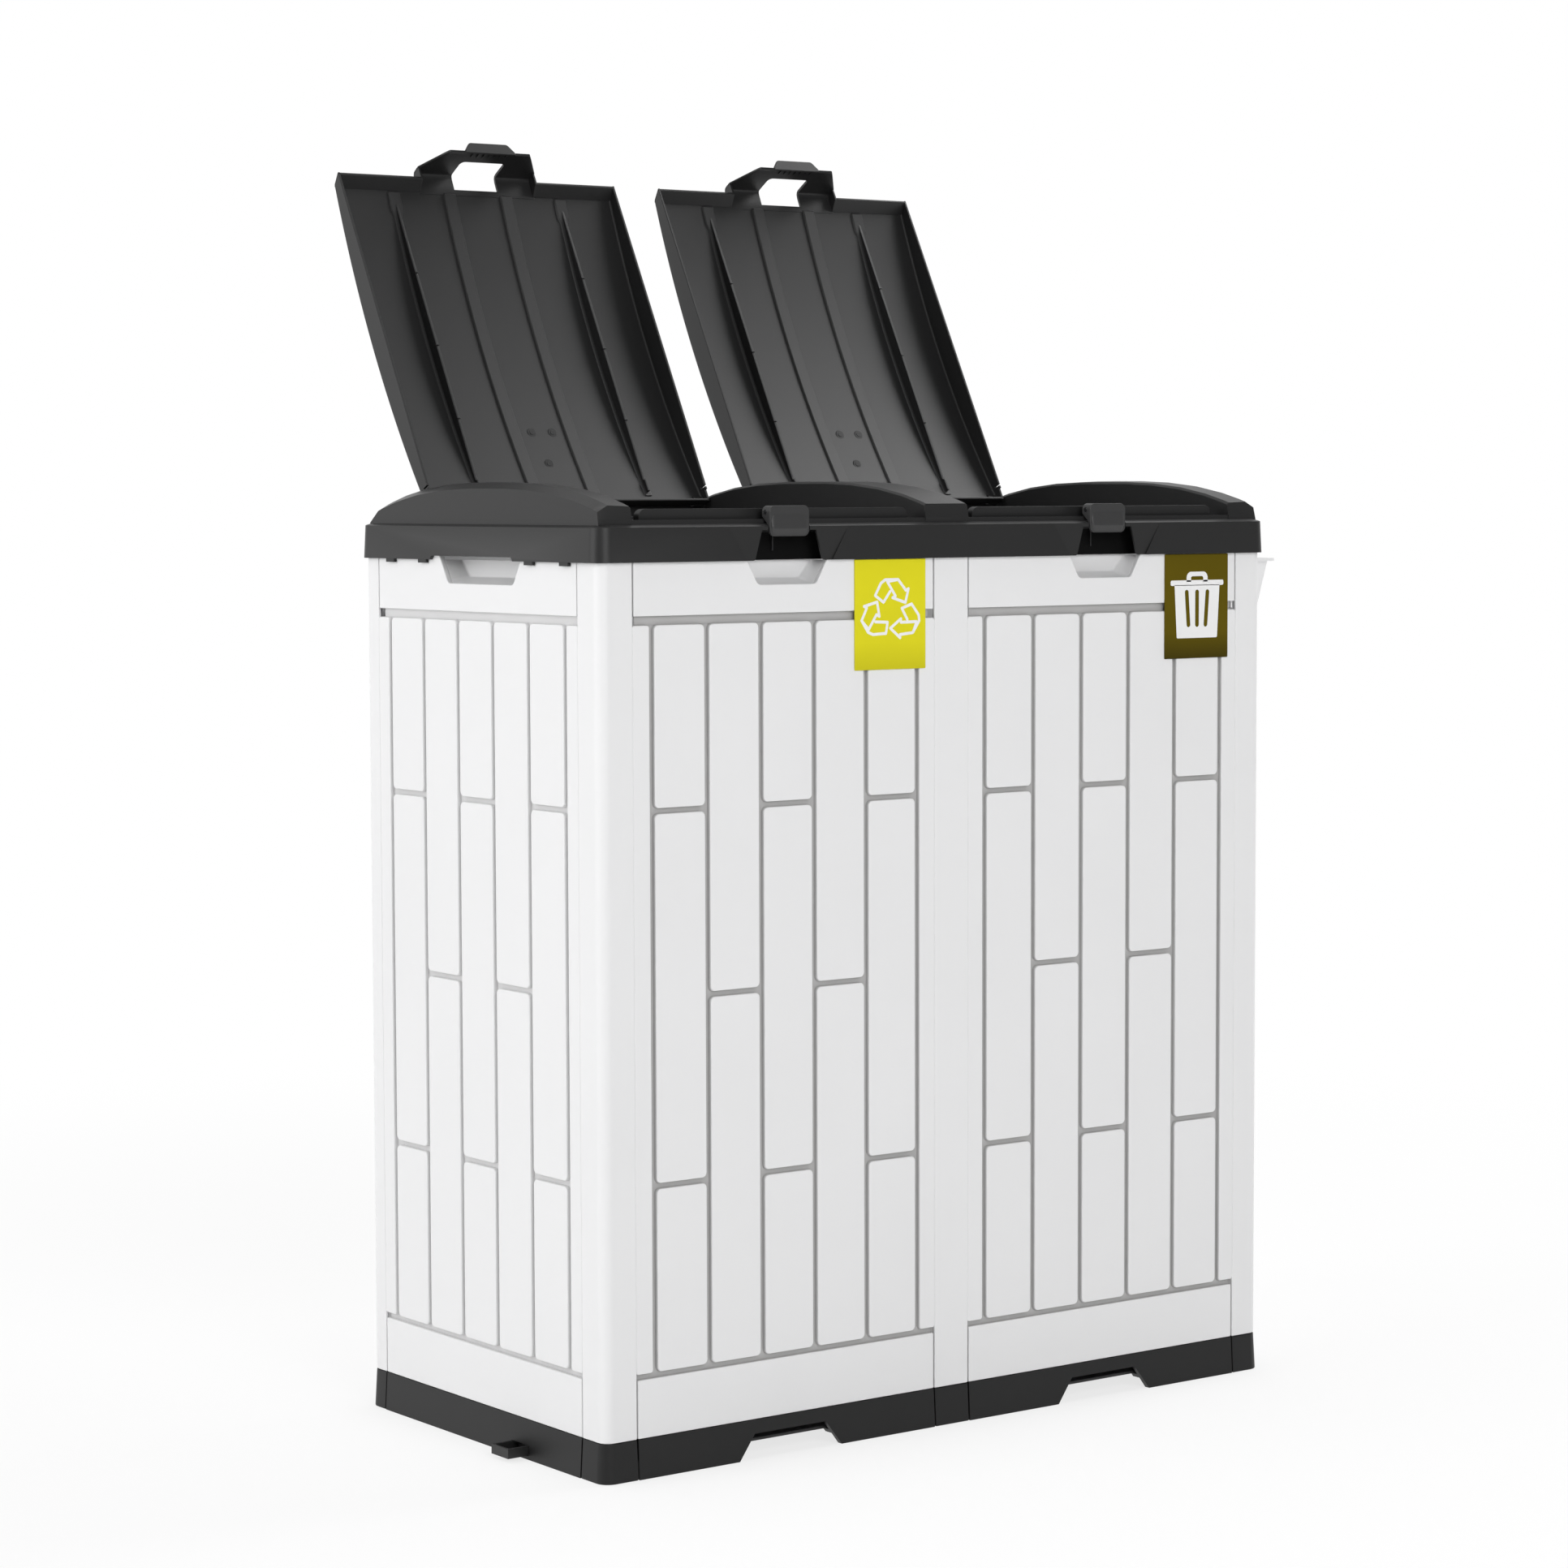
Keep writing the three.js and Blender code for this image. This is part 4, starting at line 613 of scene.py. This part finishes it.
def lid_tray(name, matrix):
    """Crown and side walls in one sweep, with rounded rims and a fillet along each wall's root."""
    half, wall, bevel, fillet, lean_from, count = LID_HALF, LID_WALL, 2.4, 1.8, 200, 26
    # Each station is y and the height of the walls' rim, with the notches at the back.
    stations = [(LID_BACK, BACK_LOW), (-7.9, BACK_LOW), (-8.0, LID_LOW), (-10.4, LID_LOW), (-10.5, -6.5),
                (-12.3, -6.5), (-12.4, LID_LOW)]
    stations += [(-12.4 - (LID_REACH - 12.4) * i / count, LID_LOW) for i in range(1, count + 1)]
    loops = []
    for y, low in stations:
        top = crown(y)
        side = [(half - 0.5, low), (half, low + 0.6), (half, top - bevel)]
        side += arc(half - bevel, top - bevel, bevel, 0, 90)
        inside = [(half - wall + 0.4, low), (half - wall, low + 0.5)]
        inside += arc(half - wall - fillet, top - wall - fillet, fillet, 0, 90)
        ring = side + [(-x, z) for x, z in side[::-1]] + [(-x, z) for x, z in inside] + inside[::-1]
        lean = LIP_LEAN * max(0.0, (-y - lean_from) / (LID_REACH - lean_from))
        loops.append([(x, y - lean * (top - z) / (top - LID_LOW), z) for x, z in ring])
    return stack(name, loops, matrix)


def raised_strip(name, x, stations, matrix):
    """A shallow raised band under the crown, in a lighter black that is painted light. Stations are y, width,
    height.
    """
    loops = []
    for y, width, height in stations:
        root = crown(y) - LID_WALL
        low = root - height
        half = width / 2
        points = [(half + 0.7, root + 0.6), (half + 0.5, root - 0.1), (half, low + 0.5), (half - 0.5, low)]
        ring = points + [(-px, pz) for px, pz in points[::-1]]
        loops.append([(x + px, y, pz) for px, pz in ring])
    strip = stack(name, loops, matrix)
    for face in strip.data.polygons:
        face.material_index = 1
    return strip


def deep_rib(name, x, matrix):
    """A thin rib whose free edge is a straight chord, with three small ticks and a heel."""
    front, back, end = -LID_REACH + 14, -10.0, 1.2
    under = [(y, crown(y) - LID_WALL / 2) for y in (back + (front - back) * i / 20 for i in range(21))]
    z_front, z_back = crown(front) - LID_WALL - end, crown(back) - LID_WALL - end

    def free(y):
        return z_back + (z_front - z_back) * (y - back) / (front - back)

    heel = [(-24.0, free(-24.0)), (-22.0, free(-22.0) - 2.4), (back, z_back - 2.8)]
    outline = under + [(front, z_front)] + heel
    parts = [prism(name, outline, "x", x - 1.4, x + 1.4, matrix, 0.45, 2)]
    for share in (0.25, 0.5, 0.75):
        y = back + (front - back) * share
        parts.append(block(f"{name}_tick_{share}", x - 1.9, x + 1.9, y - 0.6, y + 0.6, free(y) - 0.9,
                           free(y) + 2, 0.2, matrix))
    return parts


def tongue(name, matrix):
    """The hood that runs on from the crown, stands off the skirt and ends in a bar with a tab."""
    path = [(-LID_REACH + 4, crown(-LID_REACH + 4) - 0.05), (-LID_REACH, 0.0), (-352.0, -0.4), (-358.4, -0.8),
            (-362.0, -1.7), (-364.3, -3.5), (-365.2, -6.2), (-365.8, LID_LOW), (-366.5, -24.0),
            (-367.1, -34.0), (-367.4, -39.5), (-367.4, -42.2), (-366.7, TONGUE_TIP)]
    normals = []
    for i in range(len(path)):
        (ya, za), (yb, zb) = path[max(i - 1, 0)], path[min(i + 1, len(path) - 1)]
        length = math.hypot(yb - ya, zb - za)
        normals.append(((zb - za) / length, -(yb - ya) / length))

    def half_width(z):
        share = max(0.0, (LID_LOW - z) / (LID_LOW - TONGUE_TIP))
        return TONGUE_HALF + (TIP_HALF - TONGUE_HALF) * share

    # Each pair is a share of the half width and how much thinner the sheet is there.
    sections = [(-1, 0.55), (-0.992, 0.15), (-0.98, 0), (-0.5, 0), (0, 0), (0.5, 0), (0.98, 0), (0.992, 0.15),
                (1, 0.55)]
    loops = []
    for share, skin in sections:
        outer, inner = ([(y - n[0] * depth, z - n[1] * depth) for (y, z), n in zip(path, normals)]
                        for depth in (skin, LID_WALL - skin))
        xs = [share * half_width(z) for _, z in path]
        loops.append([(x, *p) for x, p in zip(xs, outer)] + [(x, *p) for x, p in zip(xs[::-1], inner[::-1])])
    sheet = stack(name, loops, matrix)
    cheek = [(-LID_REACH + 2.4, -0.4), (-362.4, -2.0), (-364.6, -5.0), (-365.1, LID_LOW), (LIP_Y, LID_LOW),
             (LIP_Y + LID_WALL, LID_LOW), (-LID_REACH + LID_WALL, -LID_WALL)]
    parts = []
    for side in (-1, 1):
        x0, x1 = span(side, TONGUE_HALF - LID_WALL, TONGUE_HALF - 0.15)
        parts.append(prism(f"{name}_cheek_{side}", cheek, "x", x0, x1, matrix, 0.5, 2))
    tab = [(-29, -364.7), (-29, -367.5), (-23.4, -374.6), (-22.0, -375.8), (-20.2, -376.3)]
    tab += [(-x, y) for x, y in tab[::-1]]
    parts.append(prism(name + "_tab", tab, "z", TONGUE_TIP, TONGUE_TIP + LID_WALL, matrix, 0.7, 3))
    for k in range(7):  # grip ribs on the bar
        x = -19.5 + 6.5 * k
        parts.append(block(f"{name}_grip_{k}", x - 0.6, x + 0.6, -365.2, -363.9, -41.5, -36.0, 0.25, matrix))
    return sheet, parts


def lid(side, name):
    turn = Matrix.Rotation(-math.radians(OPEN_ANGLE), 4, "X")
    matrix = Matrix.Translation((side * BAY_X, HINGE_Y, HINGE_Z)) @ turn
    tray = lid_tray(name + "_tray", matrix)
    hood, parts = tongue(name + "_tongue", matrix)
    window = rounded_rect(-25.5, 25.5, LID_LOW - 14, 14, 5)
    cutter = prism(name + "_window", window, "y", -380, -LID_REACH - 0.5, matrix)
    parts += [tray, carve(hood, cutter)]
    lip = [(-LID_REACH, -0.2), (LIP_Y, LID_LOW), (LIP_Y + LID_WALL, LID_LOW),
           (-LID_REACH + LID_WALL + 0.4, -1.6)]
    back = [(LID_BACK, crown(LID_BACK) - 0.4), (LID_BACK, BACK_LOW), (2.0, BACK_LOW), (2.0, crown(2.0) - 1)]
    boss = circle(0, -0.2, 5, 24)
    pad = [(-342.0, 13, 0.4), (-340.5, 13, 1.6), (-322.0, 13, 1.6), (-316.0, 8.5, 1.2)]
    pad += [(-316 + (310 * i / 18), 7.5, 1.0) for i in range(1, 19)]
    band = [(-342.5, 13, 0.5), (-341.0, 13, 2.1)] + [(-341 + 340 * i / 20, 13, 2.1) for i in range(1, 21)]
    parts.append(prism(name + "_back", back, "x", 0.1 - LID_HALF, LID_HALF - 0.1, matrix, 0.6, 2))
    for end in (-1, 1):
        x0, x1 = span(end, TONGUE_HALF - 1, LID_HALF - 0.1)
        parts.append(prism(f"{name}_lip_{end}", lip, "x", x0, x1, matrix, 0.7, 3))
        x0, x1 = span(end, BOSS_AT, LID_HALF - 0.2)
        parts.append(prism(f"{name}_boss_{end}", boss, "x", x0, x1, matrix, 0.4, 2))
        parts.append(block(f"{name}_web_{end}", x0, x1, 0, 4, -5, -2, 0.3, matrix))
        parts += deep_rib(f"{name}_rib_{end}", end * RIB_AT, matrix)
        parts.append(raised_strip(f"{name}_pad_{end}", end * RIB_AT, pad, matrix))
        parts.append(raised_strip(f"{name}_band_{end}", end * BAND_AT, band, matrix))
    for k, (x, y) in enumerate(DIALS):
        for radius, rise in ((4.8, 0.45), (2.6, 0.75)):
            z = crown(y) - LID_WALL
            parts.append(prism(f"{name}_dial_{k}_{radius}", circle(x, y, radius, 24), "z", z - rise, z + 0.8,
                               matrix, 0.2, 1))
    obj = dress(finish_mesh(join(name + "_moulding", parts), 38), BLACK, name, [name])
    # The raised strips take a lighter black: painted light.
    obj.data.materials.append(STRIP_LIT_BLACK)


lid(-1, "lid_left")
lid(1, "lid_right")


# ------------------------------------------------------------------ latches, drawn about their pin
LATCH_Y, LATCH_Z, LATCH_HALF, LATCH_LOW, LATCH_HIGH = -195, 855, 22.0, -21.5, 6.0
PIN_BORE = 2.35


def latch(side, node):
    """A cap with a frame and a raised pad on its face, a top plate and two cheeks on the pin."""
    matrix = Matrix.Translation((side * BAY_X, LATCH_Y, LATCH_Z))
    low, high, half = LATCH_LOW, LATCH_HIGH, LATCH_HALF
    rim = []
    for depth, inset in ((-4.6, 1.2), (-4.8, 0.2), (-5.4, 0.0), (-6.6, 0.0), (-7.2, 0.25), (-7.4, 0.8)):
        ring = rounded_rect(-half + inset, half - inset, low + inset, high - inset, 5.5 - inset * 0.6, 6)
        rim.append([(x, depth, z) for x, z in ring])
    # The pad leans back over a bevel along its foot, and its corners are round.
    face = [(-5.0, 0.0), (-6.8, 0.0), (-7.3, 0.2), (-8.75, 5.1), (-9.0, 6.1), (-8.9, 7.2), (-7.1, 21.2),
            (-6.7, 22.8), (-5.9, 24.0), (-4.8, 24.4), (-3.6, 24.4)]
    reach, corner, tall = half - 1.7, 4.8, 25.5
    pad = []
    for x in (0.0, 15.5, 16.4, 17.4, 18.4, 19.3, 19.9, 20.2, 20.3):
        over = max(0.0, x - (reach - corner))
        rise = corner - math.sqrt(max(0.0, corner ** 2 - over ** 2))
        foot, squash = low + 0.9 + rise, (tall - 1.7 * rise) / tall
        pad.append([(x, y + 0.9 * (over / corner) ** 4, foot + z * squash) for y, z in face])
    pad = [[(-x, y, z) for x, y, z in loop] for loop in pad[:0:-1]] + pad
    parts = [stack(node + "_frame", rim, matrix), stack(node + "_pad", pad, matrix)]
    # Top plate and cheeks are one bent wall with round shoulders.
    walls = []
    for edge, top, radius in ((half - 0.05, high - 0.05, 5.4), (half - 2.35, high - 2.35, 3.1)):
        shoulder = arc(edge - radius, top - radius, radius, 0, 90, 6)
        walls.append([(edge, -17.0)] + shoulder + [(-x, z) for x, z in shoulder[::-1]] + [(-edge, -17.0)])
    hood = prism(node + "_hood", walls[0] + walls[1][::-1], "y", -6.3, 4.9, matrix, 0.6, 2)
    waste = [(5.6, -3.0), (4.9, -3.0), (-3.4, -10.2), (-5.0, -18.0), (5.6, -18.0)]
    for name, outline in (("_waste", waste), ("_hole", circle(0, 0, PIN_BORE, 18))):
        hood = carve(hood, prism(node + name, outline, "x", -half - 1, half + 1, matrix))
    parts.append(hood)
    # The latch takes a lighter black: painted light.
    return dress(finish_mesh(join(node + "_moulding", parts), 40), LATCH_LIT_BLACK, node, [node])


latch(-1, "latch_left")
latch(1, "latch_right")


# ------------------------------------------------------------------ tags
TAG_LOW, TAG_HIGH, TAG_FACE = 710.65, 811.65, -200.35
PRINT_LIFT = 0.02


def tag(node, x0, x1, material):
    matrix = Matrix.Translation((0, TAG_FACE, 0))
    loops = []
    for depth, inset in ((1.0, 0.0), (0.35, 0.0), (0.05, 0.25)):
        ring = rounded_rect(x0 + inset, x1 - inset, TAG_LOW + inset, TAG_HIGH - inset, 0.8, 3)
        loops.append([(x, depth, z) for x, z in ring])
    return dress(finish_mesh(stack(node + "_card", loops, matrix), 40), material, nodes=[node])


def printed(name, points, matrix, lift=PRINT_LIFT):
    """A flat printed shape, a hair above its card."""
    return prism(name, points, "y", 0.05 - lift, 0.2, matrix)


def loop_symbol(node, x, z):
    """Three folded arrows chasing each other, in outline."""
    matrix = Matrix.Translation((x, TAG_FACE, z))
    stretch, line_width = 1.2, 2.7
    lines = (
        ((-3.5, 26.8), (7.0, 28.6), (14.4, 18.6), (17.0, 20.0), (14.0, 7.4), (1.6, 12.0), (4.4, 13.6),
         (-3.5, 26.8)),
        ((7.0, 28.6), (-5.4, 28.6), (-9.6, 25.6), (-15.2, 14.4), (-7.2, 8.0), (-0.8, 17.8)),
    )
    parts = []
    for arrow in range(3):
        turn = math.radians(-120 * arrow)
        for line in lines:
            spots = [(stretch * (px * math.cos(turn) - pz * math.sin(turn)),
                      px * math.sin(turn) + pz * math.cos(turn)) for px, pz in line]
            for a, b in zip(spots, spots[1:]):
                # Each stroke lies a little higher than the last, so that none share a plane.
                parts.append(printed(f"{node}_line_{len(parts)}", capsule(a, b, line_width, 6), matrix,
                                     PRINT_LIFT + 0.002 * len(parts)))
    return dress(finish_mesh(join(node + "_symbol", parts), 40), PRINT)


def can_symbol(node, x, z):
    """A waste can with three slots, in solid white."""
    matrix = Matrix.Translation((x, TAG_FACE, z))
    body = [(12.2, -30.0), (70.8, -30.0), (67.8, -80.6), (66.8, -81.4), (16.2, -81.4), (15.2, -80.6)]
    can = printed(node + "_body", body, matrix)
    slots = (((28.0, -37.0), (30.4, -68.4)), ((41.5, -37.0), (41.5, -68.4)), ((55.0, -37.0), (52.6, -68.4)))
    for k, (top, bottom) in enumerate(slots):
        can = carve(can, prism(f"{node}_slot_{k}", capsule(top, bottom, 4.8, 8), "y", -2, 2, matrix))
    lid_line = [(px + 41.5, pz - 28.0) for px, pz in rounded_rect(-34.4, 34.4, -2.6, 2.6, 1.6, 4)]
    outer = [(27.8, -27.0), (27.8, -22.6)] + arc(33.6, -23.0, 5.8, 175, 95, 5)
    outer += arc(49.4, -23.0, 5.8, 85, 5, 5) + [(55.2, -22.6), (55.2, -27.0)]
    inner = [(33.6, -27.6), (33.6, -23.6)] + arc(35.4, -23.4, 1.8, 180, 90, 3)
    inner += arc(47.6, -23.4, 1.8, 90, 0, 3) + [(49.4, -23.6), (49.4, -27.6)]
    bar = printed(node + "_bar", lid_line, matrix)
    bow = carve(printed(node + "_bow", outer, matrix), prism(node + "_gap", inner, "y", -2, 2, matrix))
    return dress(finish_mesh(join(node + "_symbol", [can, bar, bow]), 40), PRINT)


tag("tag_recycling", -113.5, -31.5, LIME)
tag("tag_waste", 263.5, 345.5, OLIVE)
loop_symbol("tag_recycling", -72.0, TAG_HIGH - 47.5)
can_symbol("tag_waste", 263.5, TAG_HIGH)

# ------------------------------------------------------------------ camera, as solved from the photo
camera_data = bpy.data.cameras.new("camera")
camera_data.sensor_width = 36.0
camera_data.lens = 91.74
camera_data.clip_end = 60.0
camera = bpy.data.objects.new("camera", camera_data)
bpy.context.scene.collection.objects.link(camera)
yaw, pitch, roll = 0.6373, -0.0740, -0.0031
forward = Vector((math.sin(yaw) * math.cos(pitch), math.cos(yaw) * math.cos(pitch), math.sin(pitch)))
level = Vector((math.cos(yaw), -math.sin(yaw), 0))
upright = level.cross(forward)
right = math.cos(roll) * level + math.sin(roll) * upright
up = -math.sin(roll) * level + math.cos(roll) * upright
place = Matrix.Translation((-2.3255, -3.0790, 0.87674))
camera.matrix_world = place @ Matrix((right, up, -forward)).transposed().to_4x4()
bpy.context.scene.camera = camera


# ------------------------------------------------------------------ stage and light
def pale(name, colour, share):
    """A pale diffuse surface that the camera sees lifted towards white, with its shadows kept."""
    near, far = 0.5, 2.4  # metres from the middle, between which share grows to 1
    material, tree, shader = new_material(name)
    shader.inputs["Base Color"].default_value = (*colour, 1)
    shader.inputs["Roughness"].default_value = 0.9
    shader.inputs["Specular IOR Level"].default_value = 0.1
    path = add(tree, "ShaderNodeLightPath")
    seen = path.outputs["Is Camera Ray"]
    for kind in ("Is Glossy Ray", "Is Transmission Ray"):
        seen = maths(tree, "MAXIMUM", seen, path.outputs[kind])
    coords = add(tree, "ShaderNodeTexCoord")
    away = add(tree, "ShaderNodeVectorMath", operation="LENGTH")
    tree.links.new(coords.outputs["Object"], away.inputs[0])
    reach = spread(tree, away.outputs["Value"], "SMOOTHSTEP", from_min=near, from_max=far, to_min=share,
                   to_max=1.0)
    light = add(tree, "ShaderNodeEmission", Strength=1.0)
    light.inputs["Color"].default_value = (1, 1, 1, 1)
    mix = add(tree, "ShaderNodeMixShader")
    tree.links.new(maths(tree, "MULTIPLY", seen, reach), mix.inputs["Fac"])
    tree.links.new(shader.outputs["BSDF"], mix.inputs[1])
    tree.links.new(light.outputs["Emission"], mix.inputs[2])
    tree.links.new(mix.outputs["Shader"], tree.nodes["Material Output"].inputs["Surface"])
    return material


FLOOR_HALF = 9000
floor = block("floor", -FLOOR_HALF, FLOOR_HALF, -FLOOR_HALF, FLOOR_HALF, -12, -0.2)
floor.data.materials.append(pale("floor_pale", (0.9, 0.9, 0.9), 0.75))


def studio():
    """A room that is white behind the object and dim in front of it, and white wherever the camera looks."""
    world = bpy.data.worlds.new("studio")
    bpy.context.scene.world = world
    world.use_nodes = True
    tree = world.node_tree
    background = tree.nodes["Background"]
    background.inputs["Color"].default_value = (1, 1, 1, 1)
    coords = add(tree, "ShaderNodeTexCoord")
    parts = add(tree, "ShaderNodeSeparateXYZ")
    tree.links.new(coords.outputs["Generated"], parts.inputs["Vector"])
    room = spread(tree, parts.outputs["Y"], "SMOOTHSTEP", from_min=-0.45, from_max=0.55, to_min=0.16,
                  to_max=1.0)
    path = add(tree, "ShaderNodeLightPath")
    strength = maths(tree, "MAXIMUM", room, path.outputs["Is Camera Ray"])
    tree.links.new(strength, background.inputs["Strength"])


studio()


def lamp(name, place, target, size, watts):
    data = bpy.data.lights.new(name, "AREA")
    data.shape = "RECTANGLE"
    data.size, data.size_y = size
    data.energy = watts
    obj = bpy.data.objects.new(name, data)
    obj.location = place
    obj.rotation_euler = (Vector(target) - Vector(place)).to_track_quat("-Z", "Y").to_euler()
    bpy.context.scene.collection.objects.link(obj)


lamp("key", (-1.0, -4.1, 2.4), (0, 0, 0.45), (2.4, 2.4), 94)
lamp("side", (-3.7, 0.5, 1.9), (-0.3, 0, 0.5), (2.2, 2.2), 47)
lamp("top", (2.6, -0.2, 3.3), (0.1, 0.2, 0.9), (1.6, 1.6), 52)

bpy.context.scene.view_settings.view_transform = "Standard"
